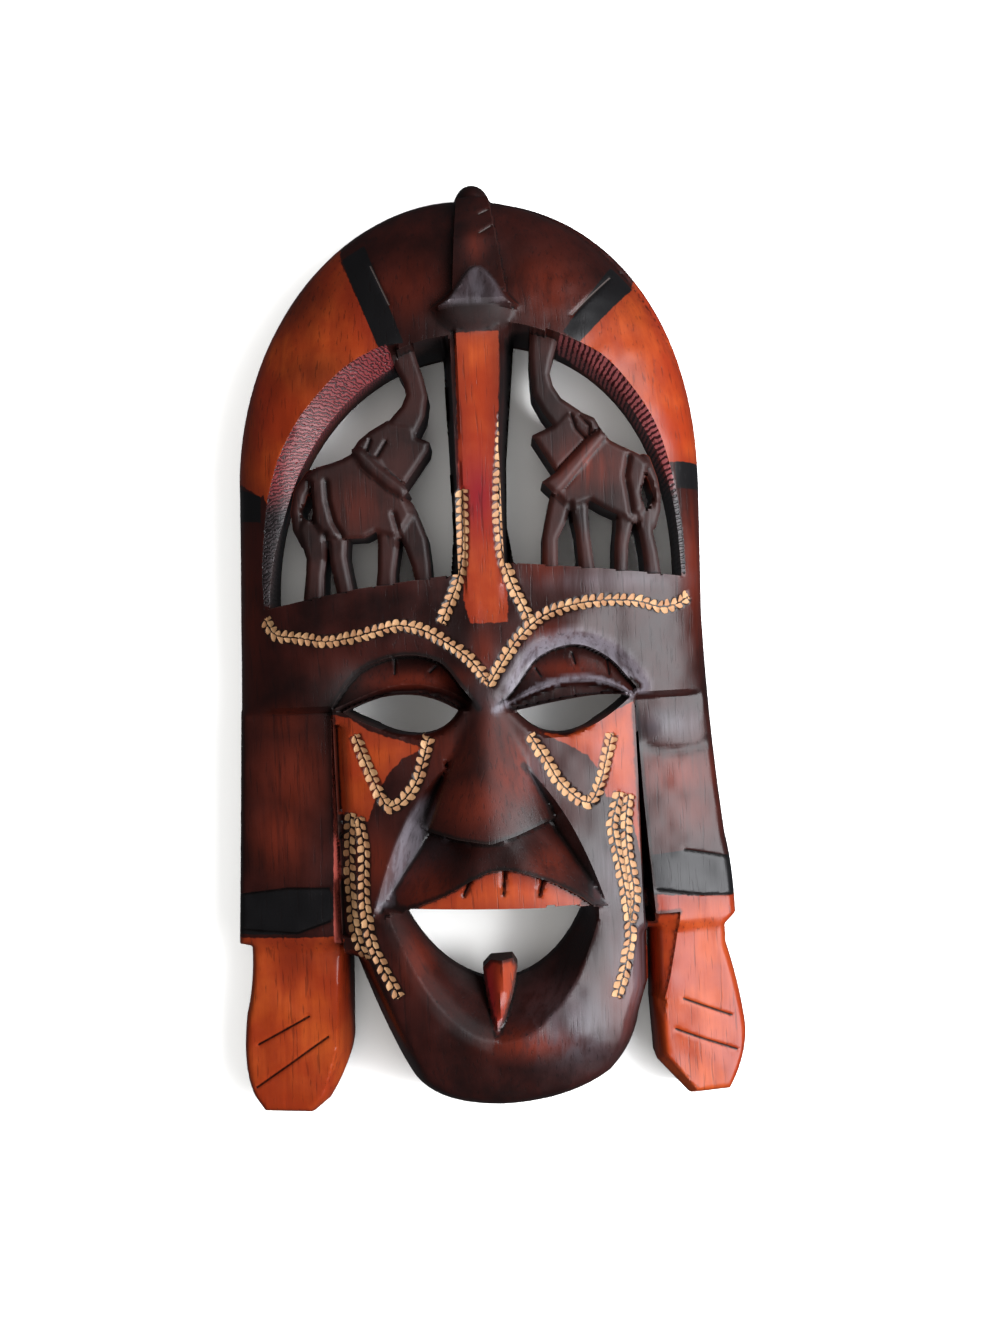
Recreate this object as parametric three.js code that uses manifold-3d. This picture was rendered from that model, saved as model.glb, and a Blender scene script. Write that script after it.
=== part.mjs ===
// Carved elephant wall mask: one block of wood, carved through and hollowed behind.
//
// Sizes are in millimetres. Across is x, up is z, and the face looks along -y. A point of the
// carving is given by its place across and up, and by its relief: how far it stands out from
// the wall plane that the flat back rests on. Levels are counted from the root of the brow, and
// the finished mask is then set with the middle of its flat crest back at the origin.
import * as THREE from 'three';
import { ConvexGeometry } from 'three/addons/geometries/ConvexGeometry.js';
import { mergeVertices } from 'three/addons/utils/BufferGeometryUtils.js';
import Module from 'manifold-3d';

const wasm = await Module();
wasm.setup();

// Driving dimensions
const height = 405;
const width = 218;
const crownRelief = 46;
const rimRelief = 18;
const hollowDepth = 27;
const crestLevel = 172;
const crestAcross = 6;

// The dome is a superellipse on each side, fuller on the right
const dome = { half: width * 0.4656, spring: 80, rise: height * 0.311, leftPower: 1.95, rightPower: 2.2 };

// The two windows under the arch, each a quarter superellipse
const windows = {
  left: { side: -1, half: 88, base: 31, rise: 109, power: 2, foot: [29, 35.5, 39.5] },
  right: { side: 1, half: 90, base: 38, rise: 108, power: 2.3, foot: [35, 39.5, 43.5] },
};

// Jaw and ear levels
const earTop = -16;
const notchLeft = -117;
const notchRight = -114;
const chin = -192;

// Cuts run on past the front and the back by these reliefs
const farFront = 95;
const farBack = 12;

// The outside edge leans in by these steps, each [inset, relief]
const rimSteps = [[0, 12], [2.5, 19], [7, 25], [7, farFront]];

// The chamfer around each window, and the levels cut into the eye sockets
const frameChamfer = 12;
const frameFloor = 29;
const socketFloor = 34;
const lidRelief = 37.5;
const lidWidth = 9;

const clamp = THREE.MathUtils.clamp;
const smooth = (from, to, t) => THREE.MathUtils.smoothstep((t - from) / (to - from), 0, 1);
const mix = THREE.MathUtils.lerp;

// A closed geometry as a solid that can be joined and cut
function solid(geometry) {
  const bare = geometry.clone();
  bare.deleteAttribute('normal');
  bare.deleteAttribute('uv');
  const merged = mergeVertices(bare, 1e-4);
  const mesh = new wasm.Mesh({
    numProp: 3,
    vertProperties: new Float32Array(merged.attributes.position.array),
    triVerts: new Uint32Array(merged.index.array),
  });
  return new wasm.Manifold(mesh);
}

function joined(solids) {
  return solids.reduce((sum, next) => sum.add(next));
}

// An outline across and up, pushed out from one relief to another
function prism(shape, from, to) {
  const options = { depth: to - from, bevelEnabled: false, curveSegments: 10 };
  const geometry = new THREE.ExtrudeGeometry(shape, options);
  geometry.translate(0, 0, from);
  geometry.rotateX(Math.PI / 2);
  return solid(geometry);
}

// Rings with the same number of points, [points, relief] from back to front, as one closed body
function stack(rings) {
  const count = rings[0][0].length;
  const positions = [];
  rings.forEach(([points, level]) => points.forEach((p) => positions.push(p.x, -level, p.y)));
  const faces = [];
  for (let level = 0; level < rings.length - 1; level += 1) {
    const low = level * count;
    for (let i = 0; i < count; i += 1) {
      const next = (i + 1) % count;
      faces.push([low + i, low + next, low + count + next]);
      faces.push([low + i, low + count + next, low + count + i]);
    }
  }
  const last = (rings.length - 1) * count;
  THREE.ShapeUtils.triangulateShape(rings[0][0].slice(), []).forEach(([i, j, k]) => {
    faces.push([k, j, i]);
  });
  THREE.ShapeUtils.triangulateShape(rings.at(-1)[0].slice(), []).forEach(([i, j, k]) => {
    faces.push([last + i, last + j, last + k]);
  });
  const geometry = new THREE.BufferGeometry();
  geometry.setAttribute('position', new THREE.Float32BufferAttribute(positions, 3));
  geometry.setIndex(faces.flat());
  return solid(geometry);
}

function outlinePoints(shape) {
  const points = shape.getPoints(8);
  if (points[0].distanceTo(points.at(-1)) < 1e-3) points.pop();
  return THREE.ShapeUtils.isClockWise(points) ? points.reverse() : points;
}

// An outline drawn in towards the middle of its own box
function drawnIn(points, inset) {
  const box = new THREE.Box2().setFromPoints(points);
  const middle = box.getCenter(new THREE.Vector2());
  const half = box.getSize(new THREE.Vector2()).multiplyScalar(0.5);
  const factor = new THREE.Vector2(1 - inset / half.x, 1 - inset / half.y);
  return points.map((p) => p.clone().sub(middle).multiply(factor).add(middle));
}

// A block whose edge leans in by steps, each [inset, relief]
function roundedBlock(shape, steps) {
  const points = outlinePoints(shape);
  return stack([[points, -farBack], ...steps.map(([inset, relief]) => [drawnIn(points, inset), relief])]);
}

// Two outlines with the same curves in them, joined from one relief to another
function loft(backShape, backRelief, frontShape, frontRelief) {
  return stack([[outlinePoints(backShape), backRelief], [outlinePoints(frontShape), frontRelief]]);
}

// A faceted lump through a few corners, each [across, up, relief]
function facets(corners) {
  return solid(new ConvexGeometry(corners.map(([x, z, relief]) => new THREE.Vector3(x, -relief, z))));
}

// An outline through straight runs of points, each [across, up]
function polygon(points) {
  return new THREE.Shape(points.map(([x, z]) => new THREE.Vector2(x, z)));
}

// Corners of a chamfered round post at one station of a limb, [across, up, radius]
function post([x, z, radius], from, to) {
  const chamfer = Math.min(2.4, radius * 0.5);
  const sides = radius > 6 ? 14 : 9;
  const corners = [];
  for (let i = 0; i < sides; i += 1) {
    const angle = 2 * Math.PI * i / sides;
    const corner = (reach, level) => {
      corners.push([x + reach * Math.cos(angle), z + reach * Math.sin(angle), level]);
    };
    corner(radius, from);
    corner(radius, to - chamfer);
    corner(radius - chamfer, to);
  }
  return corners;
}

// A limb runs from station to station, standing between two reliefs
function limb(stations, from, to) {
  const posts = stations.map((station) => post(station, from, to));
  return joined(posts.slice(1).map((end, i) => facets([...posts[i], ...end])));
}

// Outline of the head with both upper ears
function headShape() {
  const shape = new THREE.Shape();
  shape.moveTo(-110.7, notchLeft);
  shape.lineTo(-70, notchLeft - 8);
  shape.lineTo(76, notchRight - 5);
  shape.lineTo(103.8, notchRight - 4);
  shape.lineTo(108.9, notchRight + 1);
  shape.quadraticCurveTo(108.8, -92, 105.8, -78);
  shape.quadraticCurveTo(100.8, -30, 100, 20);
  const arc = [];
  const steps = 26;
  for (let i = 0; i <= steps; i += 1) {
    const angle = Math.PI * i / steps;
    const power = i * 2 < steps ? dome.rightPower : dome.leftPower;
    const across = Math.abs(Math.cos(angle)) ** (2 / power) * Math.sign(Math.cos(angle));
    const up = Math.abs(Math.sin(angle)) ** (2 / power);
    arc.push(new THREE.Vector2(dome.half * across, dome.spring + dome.rise * up));
  }
  arc.forEach((p) => shape.lineTo(p.x, p.y));
  shape.quadraticCurveTo(-104, 0, -110.7, notchLeft);
  return shape;
}

function jawShape() {
  const shape = new THREE.Shape();
  shape.moveTo(-57, -88);
  shape.lineTo(-60.2, -121);
  shape.quadraticCurveTo(-46, -162, -36, -178);
  shape.quadraticCurveTo(-26, chin + 1, 2, chin);
  shape.quadraticCurveTo(32, chin, 51, -179);
  shape.quadraticCurveTo(62, -168, 64, -155);
  shape.lineTo(69, -140);
  shape.lineTo(69.4, -119);
  shape.lineTo(66, -88);
  shape.closePath();
  return shape;
}

function leftLobeShape() {
  const shape = new THREE.Shape();
  shape.moveTo(-105, -98);
  shape.lineTo(-105.2, -122);
  shape.quadraticCurveTo(-105.5, -136, -108.8, -148);
  shape.quadraticCurveTo(-112.5, -172, -107, -184);
  shape.lineTo(-102.5, -190.8);
  shape.lineTo(-80.6, chin);
  shape.lineTo(-73.6, -186.5);
  shape.quadraticCurveTo(-62.5, -170, -63.2, -158);
  shape.lineTo(-62, -124);
  shape.lineTo(-64, -98);
  shape.closePath();
  return shape;
}

function rightLobeShape() {
  const shape = new THREE.Shape();
  shape.moveTo(71.6, -98);
  shape.lineTo(71, -124);
  shape.lineTo(70.2, -152);
  shape.lineTo(71.2, -176.3);
  shape.lineTo(84.5, -191.4);
  shape.lineTo(102.8, -190.4);
  shape.quadraticCurveTo(111.5, -176, 111, -163);
  shape.quadraticCurveTo(109.5, -146, 104, -126);
  shape.lineTo(103.8, -98);
  shape.closePath();
  return shape;
}

// Relief of the domed head, flat across the middle and turning down to the rim
function headRelief(x, z) {
  const spread = dome.half + 7.5 * clamp((dome.spring - z) / 195, 0, 1);
  const out = Math.min(1, Math.hypot(x / spread, Math.max(0, (z - dome.spring) / dome.rise)));
  return rimRelief + (crownRelief - rimRelief) * (1 - out ** 4) ** 0.7;
}

// Relief of the face between the ears, with the muzzle's swell and the chin falling back
function faceRelief(x, z) {
  const out = clamp(Math.abs(x - 3) / 68, 0, 1);
  const swell = 3 * smooth(-60, -105, z);
  const fall = 12 * smooth(-150, -197, z);
  return 35 + (11 + swell) * (1 - out ** 2.2) - fall;
}

// Relief of the ears, highest along the cheeks
function earRelief(x, z) {
  const out = clamp((Math.abs(x) - 66) / 44, 0, 1);
  const lobe = smooth(-112, -120, z);
  return mix(31, 27, lobe) - mix(9, 6, lobe) * out ** 1.5;
}

function relief(x, z) {
  const ear = smooth(66.5, 67.5, Math.abs(x - 2));
  const face = mix(faceRelief(x, z), earRelief(x, z), ear);
  const side = smooth(48, 70, Math.abs(x));
  const below = mix(smooth(24, -8, z), smooth(earTop + 5, earTop - 2, z), side);
  const roll = 2.5 * Math.exp(-(((z - 14) / 11) ** 2)) * (1 - side);
  return mix(headRelief(x, z), face, below) + roll;
}

// The front of the block as a grid of facets, closer together over the face
function reliefBlock() {
  const across = [];
  for (let x = -114; x <= 114; x += 6) across.push(x);
  const up = [];
  for (let z = -198; z < 34; z += 5.5) up.push(z);
  for (let z = 36; z <= 222; z += 9) up.push(z);
  const columns = across.length - 1;
  const rows = up.length - 1;
  const box = new THREE.BoxGeometry(columns, rows, 1, columns, rows, 1);
  const points = box.attributes.position;
  for (let i = 0; i < points.count; i += 1) {
    const x = across[Math.round(points.getX(i) + columns / 2)];
    const z = up[Math.round(points.getY(i) + rows / 2)];
    const front = points.getZ(i) > 0;
    points.setXYZ(i, x, front ? -relief(x, z) : farBack, z);
  }
  return solid(box);
}

// One window: its arch side may be moved out, for the chamfer that frames it beside the trunk
function windowShape({ side, half, base, rise, power, foot }, grow = 0) {
  const inner = side < 0 ? 6 : 14;
  const shape = new THREE.Shape();
  shape.moveTo(side * (half + grow), foot[0]);
  const steps = 12;
  const stop = Math.acos((inner / half) ** (power / 2));
  for (let i = 1; i <= steps; i += 1) {
    const angle = stop * i / steps;
    const across = Math.cos(angle) ** (2 / power);
    const flare = grow * smooth(26, 44, half * across);
    shape.lineTo(side * (half + flare) * across, base + (rise + flare) * Math.sin(angle) ** (2 / power));
  }
  shape.lineTo(side * inner, foot[2]);
  shape.lineTo(side * (inner + half) / 2, foot[1]);
  shape.closePath();
  return shape;
}

// The bar between the elephants, narrower in front
function bar() {
  const back = [[-9, 144], [-8, 60], [-12, 26], [22, 26], [16, 62], [17, 90], [23, 144]];
  const front = [[-1.8, 144], [-1.8, 60], [-2.2, 26], [13.8, 26], [12.2, 62], [13.4, 90], [16.5, 144]];
  return loft(polygon(back), 4, polygon(front), crownRelief + 1);
}

// Elephants: the stations of each limb are [across, up, radius]
const elephants = {
  left: {
    body: [[-36, 77, 10], [-46, 75, 15], [-56, 73.5, 16], [-65, 72, 11.5]],
    head: [[-43, 91, 9], [-34, 94, 11], [-27, 91.5, 9.3], [-18, 96.3, 2.2]],
    ear: [[-46, 88, 5], [-36, 82, 5], [-27, 76.5, 2]],
    trunk: [[-27.5, 142, 5.2], [-24, 131, 5], [-20.5, 122, 5], [-20.3, 113, 5], [-25, 103, 7]],
    tail: [[-70, 82, 3.5], [-75, 74, 2.5], [-74.5, 65, 3], [-70, 55, 3]],
    legs: [
      [[-28, 67, 6], [-23.5, 55, 5.8], [-20.5, 34, 3.6]],
      [[-36, 64, 5.5], [-36.5, 50, 3.6], [-37.2, 32, 3.9]],
      [[-56, 62, 6], [-56.6, 50, 3.7], [-53.8, 30, 3.4]],
      [[-67, 64, 7], [-66.3, 50, 4.2], [-68.5, 26, 4.8]],
    ],
    gap: [[-67.6, 77], [-70.4, 71], [-69.4, 65.5], [-67.2, 66]],
  },
  right: {
    body: [[45, 80, 9], [56, 80.5, 15], [66, 75, 14], [72, 72, 10.5]],
    head: [[30.5, 97, 1.7], [40, 91, 9.3], [48, 96.5, 8.5], [54, 98, 6.5]],
    ear: [[33, 77.5, 2.2], [44, 83, 5], [57, 92, 5]],
    trunk: [[36, 142, 6.5], [33.5, 128, 6], [34.3, 117, 6], [39.5, 108, 6.5], [46, 102, 7]],
    tail: [[77, 81, 3], [81.5, 71, 2.4], [80, 58, 3]],
    legs: [
      [[38.5, 72, 5.2], [34.8, 57, 3.7], [33, 38, 3.7]],
      [[46.5, 70, 4.6], [48.2, 53, 2.8], [49.4, 36, 3.3]],
      [[66.5, 64, 4.6], [64.4, 49, 2.8], [63.3, 34, 3.1]],
      [[75, 64, 6], [76, 50, 3.3], [78, 32, 4.1]],
    ],
    gap: [[75.3, 77.5], [74.3, 69], [75.6, 64.8], [78.3, 69]],
  },
};
const elephantBack = 12;
const elephantFront = 37;

function elephant({ body, head, ear, trunk, tail, legs, gap }) {
  const parts = [
    limb(body, elephantBack, elephantFront),
    limb(head, elephantBack, elephantFront - 1),
    limb(ear, elephantBack, elephantFront + 2),
    limb(trunk, elephantBack, elephantFront - 1),
    limb(tail, elephantBack, elephantFront - 4),
    ...legs.map((leg) => limb(leg, elephantBack, elephantFront - 2)),
  ];
  return joined(parts).subtract(prism(polygon(gap), -farBack, farFront));
}

// Crest: a flat ridge down the dome's middle, a sloping triangle, and a lip over the bar
function crest() {
  const ridge = facets([
    [0.5, 203, 27], [-2.5, 160, 47.5], [14, 203, 27], [17.5, 160, 47.5],
    [-2, 203, 16], [-6, 157, 38], [16.5, 203, 16], [21, 157, 38],
  ]);
  const triangle = facets([
    [7, 173, 46], [-9, 155, 53], [18.5, 156, 53],
    [7, 176, 36], [-12, 153, 40], [21, 153, 40], [-8, 152.5, 52], [18, 152.5, 52],
  ]);
  const lip = facets([
    [-10, 153, 50], [20, 154, 50], [-12, 146, 49], [22, 145, 49],
    [-17, 158, 42], [27, 158, 42], [-15, 143, 40], [25, 142, 40],
  ]);
  const knob = new THREE.SphereGeometry(8.2, 12, 8);
  knob.scale(1, 1.5, 1.1);
  knob.translate(crestAcross + 1, -13.5, 203.6);
  return joined([ridge, triangle, lip, solid(knob)]);
}

// Eyes: a socket under each brow, a lid across it, and the slot that goes through
const eyes = [
  {
    arch: [[-63, -15], [-50, 0.5], [-32, 6.5], [-16, 3.5], [-6.5, -8], [0, -17]],
    lid: [[-62, -15], [-40, -7], [-25, -6], [-10, -10.5], [0, -18]],
    slot: [[-58, -16.3], [-31, -10], [-8.5, -17.6], [-27, -27.3]],
  },
  {
    arch: [[8, -17.5], [16, -9], [26.5, 3.5], [42, 8], [56, 2], [67.5, -11]],
    lid: [[7, -18], [25, -10.2], [40.5, -6.8], [55, -8.6], [66, -14.5]],
    slot: [[15.6, -18.8], [48, -14], [65, -15.2], [37, -29.5]],
  },
];

function curved(points) {
  return new THREE.SplineCurve(points.map(([x, z]) => new THREE.Vector2(x, z))).getPoints(10);
}

function socketShape({ arch, lid }) {
  return new THREE.Shape([...curved(arch), ...curved([...lid].reverse())]);
}

function lidShape({ lid }, drop) {
  const rim = curved(lid);
  const under = rim.map((p) => new THREE.Vector2(p.x, p.y - drop)).reverse();
  return new THREE.Shape([...rim, ...under]);
}

function slotShape({ slot }) {
  const [start, top, end, bottom] = slot.map(([x, z]) => new THREE.Vector2(x, z));
  const shape = new THREE.Shape();
  const through = (from, middle, to) => {
    const control = middle.clone().multiplyScalar(2).addScaledVector(from, -0.5).addScaledVector(to, -0.5);
    shape.quadraticCurveTo(control.x, control.y, to.x, to.y);
  };
  shape.moveTo(start.x, start.y);
  through(start, top, end);
  through(end, bottom, start);
  return shape;
}

// Nose: a wedge that rises from the bridge to the tip, undercut below its wings
function nose() {
  return facets([
    [0, -9, 45], [9, -9, 45], [-6, -68.5, 63], [10, -69, 63], [2.5, -71, 63],
    [-24.5, -65.5, 51], [26.5, -66.5, 51], [-8, -10, 36], [17, -10, 36],
    [-29, -60, 30], [31, -61, 30], [-24, -68, 36], [26, -68, 36],
  ]);
}

// Muzzle: the upper lip's plane, from under the nose to the arc over the teeth
function muzzle() {
  return facets([
    [-17, -67, 46], [20, -67, 46], [-12, -88, 54.5], [8, -86, 56], [23, -88, 54.5],
    [-38, -99, 46], [45, -99, 46], [-12, -103, 54], [23, -103, 54], [-38, -103, 45], [45, -103, 45],
    [-29, -70, 30], [31, -70, 30], [-46, -101, 30], [51, -102, 30], [-46, -104, 30], [51, -104, 30],
  ]);
}

// The teeth lie back from the lip, between its arc and the mouth, and their gaps are small notches
function teethRecess() {
  const ends = [new THREE.Vector2(-40, -100), new THREE.Vector2(46, -100)];
  const arc = new THREE.QuadraticBezierCurve(ends[0], new THREE.Vector2(3, -69), ends[1]).getPoints(10);
  const floor = (x) => 49.5 - 6 * ((x - 3) / 43) ** 2;
  const column = ({ x, y }) => [[x, y, floor(x)], [x, y, farFront], [x, -112, floor(x)], [x, -112, farFront]];
  const slices = arc.slice(1).map((end, i) => facets([...column(arc[i]), ...column(end)]));
  const notch = (x, top) => facets([
    [x - 1.9, top, 45], [x + 1.9, top, 45], [x - 1, top - 10, 49.3],
    [x - 1.9, top, 60], [x + 1.9, top, 60], [x - 1, top - 10, 60],
  ]);
  return joined([...slices, notch(-8.5, -88), notch(8.5, -85), notch(24, -88)]);
}

// Mouth: an opening under the teeth whose lower edge slopes out to the lip
function mouth() {
  const shape = new THREE.Shape();
  const top = -104;
  shape.moveTo(-36, top);
  shape.quadraticCurveTo(-20, -129, 3, -134);
  shape.quadraticCurveTo(27, -132, 41, top - 2);
  shape.closePath();
  const inner = outlinePoints(shape);
  const slope = facets([
    ...inner.map(({ x, y }) => [x, y, 25]),
    ...inner.map(({ x, y }) => [x * 1.25 - 0.6, top + (y - top) * 2.1, 58]),
  ]);
  return joined([prism(shape, -farBack, 26), slope]);
}

// Tongue: a small keel that stands up from the lower lip
function tongue() {
  return facets([
    [-4, -127, 33], [4, -125, 38], [12, -127, 33], [3.5, -140, 43], [1.5, -157, 44],
    [-3.5, -133, 26], [-3, -127, 24], [11, -127, 24], [11.5, -134, 26], [2, -160, 30],
  ]);
}

// Creases beside the nose: the cheek's curved edge slopes down and in, and the nose and muzzle
// stand in the space cut for them
function cheekCuts() {
  const cut = (edge, inside) => {
    const [start, bend, end] = edge.map(([x, z]) => new THREE.Vector2(x, z));
    const curve = new THREE.QuadraticBezierCurve(start, bend, end).getPoints(9);
    const corners = curve.flatMap(({ x, y }) => [[x, y, faceRelief(x, y)], [x, y, farFront]]);
    inside.forEach(([x, z, floor]) => corners.push([x, z, floor], [x, z, farFront]));
    return facets(corners);
  };
  const left = [[-8, -55, 33], [-28, -68, 33], [-20, -100, 33], [-41, -100, 34]];
  const right = [[10, -55, 33], [29, -68, 33], [22, -100, 33], [43, -100, 34]];
  return joined([
    cut([[-16, -42], [-36, -60], [-47.5, -101]], left),
    cut([[15, -39], [37, -58], [50, -101]], right),
  ]);
}

// Narrow grooves between the cheeks and the ears, and the notch over the right ear
function earGrooves() {
  const bottomLevel = notchLeft + 1;
  const groove = (side, top, bottom, wide) => facets([
    [top, earTop - 3, 48], [top + side, earTop - 3, 48], [top, earTop - 3, 15],
    [bottom, bottomLevel, 48], [bottom + side * wide, bottomLevel, 48], [bottom, bottomLevel, 12],
    [bottom + side * wide * 0.5, bottomLevel, 12],
  ]);
  const notch = facets([
    [67, earTop + 3, 48], [112, earTop + 1, 48], [67, earTop - 1, 28], [112, earTop - 2, 12],
    [67, earTop - 2, 48], [112, earTop - 4, 48],
  ]);
  return joined([groove(-1, -62.5, -63, 4), groove(1, 66.5, 67.5, 5), notch]);
}

// A cut that slopes from an edge on the front down to an outline at the side: both are runs of
// [across, up], cut from the given relief and the given lower relief
function slopingCut(edge, edgeRelief, outline, outlineRelief) {
  const above = [...edge, ...outline].map(([x, z]) => [x, z, 60]);
  return facets([
    ...edge.map(([x, z]) => [x, z, edgeRelief]),
    ...outline.map(([x, z]) => [x, z, outlineRelief]),
    ...above,
  ]);
}

// Facets on the ear lobes: a long one and a corner one on the right, a long one on the left
function lobeCuts() {
  return joined([
    slopingCut([[84.5, -114], [76.5, -149]], 28, [[69, -114], [69, -149]], 6),
    slopingCut([[76.7, -148], [72, -169]], 28, [[69, -148], [69, -172]], 6),
    slopingCut([[71.5, -167], [90, -189]], 28, [[68, -176], [84, -195]], 8),
    slopingCut([[-65, -119], [-69, -162]], 28, [[-60, -119], [-60.5, -162]], 8),
    slopingCut([[-69, -162], [-79, -193]], 28, [[-60.5, -162], [-71, -195]], 8),
  ]);
}

// The hollow behind the face: one smooth bowl, open at the back
function hollow() {
  const bowl = new THREE.SphereGeometry(1, 30, 20);
  bowl.scale(58, hollowDepth, 92);
  bowl.translate(2, 0, -76);
  return solid(bowl);
}

function mask() {
  const outlines = [headShape(), jawShape(), leftLobeShape(), rightLobeShape()];
  const blank = joined(outlines.map((shape) => roundedBlock(shape, rimSteps)));
  const behind = solid(new THREE.BoxGeometry(400, farBack * 2, 600).translate(0, farBack, 0));
  let body = blank.intersect(reliefBlock()).subtract(behind);
  Object.values(windows).forEach((opening) => {
    const through = outlinePoints(windowShape(opening));
    const framed = outlinePoints(windowShape(opening, frameChamfer));
    body = body.subtract(stack([[through, -farBack], [through, frameFloor], [framed, 50]]));
  });
  body = joined([body, bar(), ...Object.values(elephants).map(elephant), crest()]);
  eyes.forEach((eye) => {
    body = body.subtract(prism(socketShape(eye), socketFloor, farFront));
    body = body.subtract(prism(lidShape(eye, lidWidth), lidRelief, farFront));
  });
  body = joined([body.subtract(cheekCuts()), nose(), muzzle()]);
  body = body.subtract(teethRecess()).subtract(hollow());
  eyes.forEach((eye) => {
    body = body.subtract(prism(slotShape(eye), -farBack, farFront));
  });
  body = body.subtract(mouth()).subtract(earGrooves()).subtract(lobeCuts());
  body = body.add(tongue());
  return body.subtract(behind);
}

function maskMesh() {
  const { vertProperties, triVerts, numProp } = mask().simplify(0.03).getMesh();
  const positions = [];
  for (let i = 0; i < vertProperties.length; i += numProp) {
    positions.push(vertProperties[i], vertProperties[i + 1], vertProperties[i + 2]);
  }
  const geometry = new THREE.BufferGeometry();
  geometry.setAttribute('position', new THREE.Float32BufferAttribute(positions, 3));
  geometry.setIndex(Array.from(triVerts));
  geometry.computeVertexNormals();
  const wood = new THREE.MeshStandardMaterial({ color: 0x5a2416, roughness: 0.5, metalness: 0 });
  const mesh = new THREE.Mesh(geometry, wood);
  mesh.name = 'mask';
  mesh.position.set(-crestAcross, 0, -crestLevel);
  return mesh;
}

const part = new THREE.Group();
part.add(maskMesh());

export default part;
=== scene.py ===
import bpy
import bmesh
import numpy as np
from math import radians
from mathutils import Matrix, Vector
from mathutils.bvhtree import BVHTree


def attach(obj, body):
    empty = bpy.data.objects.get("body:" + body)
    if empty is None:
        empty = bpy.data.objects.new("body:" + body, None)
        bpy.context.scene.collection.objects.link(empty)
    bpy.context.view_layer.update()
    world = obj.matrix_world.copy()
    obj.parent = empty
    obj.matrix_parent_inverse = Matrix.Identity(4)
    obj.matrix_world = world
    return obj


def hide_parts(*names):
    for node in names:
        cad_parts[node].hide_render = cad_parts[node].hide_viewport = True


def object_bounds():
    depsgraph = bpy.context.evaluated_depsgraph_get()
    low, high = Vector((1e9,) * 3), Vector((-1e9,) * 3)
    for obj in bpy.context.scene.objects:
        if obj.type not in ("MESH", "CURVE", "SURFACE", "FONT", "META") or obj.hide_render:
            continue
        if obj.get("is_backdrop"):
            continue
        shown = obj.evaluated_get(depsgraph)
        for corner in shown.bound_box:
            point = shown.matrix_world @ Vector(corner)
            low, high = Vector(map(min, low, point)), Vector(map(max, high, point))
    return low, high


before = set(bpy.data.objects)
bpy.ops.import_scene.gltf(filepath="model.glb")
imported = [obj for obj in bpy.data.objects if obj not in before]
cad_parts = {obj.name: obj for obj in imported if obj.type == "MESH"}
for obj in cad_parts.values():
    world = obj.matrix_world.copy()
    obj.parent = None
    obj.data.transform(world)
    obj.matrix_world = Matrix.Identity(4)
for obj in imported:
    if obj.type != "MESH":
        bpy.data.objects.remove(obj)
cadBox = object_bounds()
print("frame loaded")

# The carving is worked out in millimetres: x across, z up from the root of the brow, and relief out from
# the wall. The finished mesh is then moved so that the middle of the crest's back is at the origin.
crestBack = {"across": 6.0, "up": 172.0}
noWood = -60.0  # a relief so low that it stands for empty space
onEdge = 0.05  # points this near an outline count as on it
tiny = 1e-6


def smooth(start, end, t):
    t = np.clip((t - start) / (end - start), 0, 1)
    return t * t * (3 - 2 * t)


def mix(a, b, t):
    return a + (b - a) * t


def softMin(a, b, k):
    h = np.clip(0.5 + 0.5 * (b - a) / k, 0, 1)
    return mix(b, a, h) - k * h * (1 - h)


def softMax(a, b, k):
    return -softMin(-a, -b, k)


def bend(start, control, end, steps=10):
    t = np.linspace(0, 1, steps + 1)[:, None]
    start, control, end = (np.array(p, float) for p in (start, control, end))
    return (1 - t) ** 2 * start + 2 * t * (1 - t) * control + t ** 2 * end


# An outline is a run of points, and a pair of points in it is a bend: where it leans to, and its end
def outline(*runs):
    points = []
    for run in runs:
        if isinstance(run[0], tuple):
            points.extend(map(tuple, bend(points[-1], run[0], run[1])[1:]))
        else:
            points.append(run)
    return np.array(points, float)


# A smooth curve through a few points
def curved(points, steps=8):
    points = np.array(points, float)
    ends = np.vstack([2 * points[0] - points[1], points, 2 * points[-1] - points[-2]])
    out = []
    for i in range(len(points) - 1):
        a, b, c, d = ends[i:i + 4]
        for t in np.arange(steps) / steps:
            out.append(0.5 * (2 * b + (c - a) * t + (2 * a - 5 * b + 4 * c - d) * t ** 2
                              + (3 * b - a - 3 * c + d) * t ** 3))
    return np.array(out + [points[-1]])


# How far each point is from a line, how far along the line its nearest place is, and on which side
def alongLine(points, line, closed=False):
    line = np.asarray(line, float)
    starts, ends = (line, np.roll(line, -1, axis=0)) if closed else (line[:-1], line[1:])
    best = np.full(len(points), 1e9)
    along, side = np.zeros(len(points)), np.zeros(len(points))
    run = 0.0
    for a, b in zip(starts, ends):
        step = b - a
        length = np.hypot(*step)
        if length < tiny:
            continue
        rel = points - a
        t = np.clip(rel @ step / length ** 2, 0, 1)
        off = rel - t[:, None] * step
        far = np.hypot(off[:, 0], off[:, 1])
        nearer = far < best
        best[nearer] = far[nearer]
        along[nearer] = (run + t * length)[nearer]
        side[nearer] = np.sign(step[0] * rel[:, 1] - step[1] * rel[:, 0])[nearer]
        run += length
    return best, along, side


# Distance to a closed outline, below zero inside it
def shapeDistance(points, shape):
    shape = np.asarray(shape, float)
    far = alongLine(points, shape, closed=True)[0]
    inside = np.zeros(len(points), bool)
    for a, b in zip(shape, np.roll(shape, -1, axis=0)):
        rise = b[1] - a[1] if abs(b[1] - a[1]) > 1e-9 else 1e-9
        crossing = (a[1] > points[:, 1]) != (b[1] > points[:, 1])
        inside ^= crossing & (points[:, 0] < (b[0] - a[0]) * (points[:, 1] - a[1]) / rise + a[0])
    return np.where(inside, -far, far)


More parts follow.
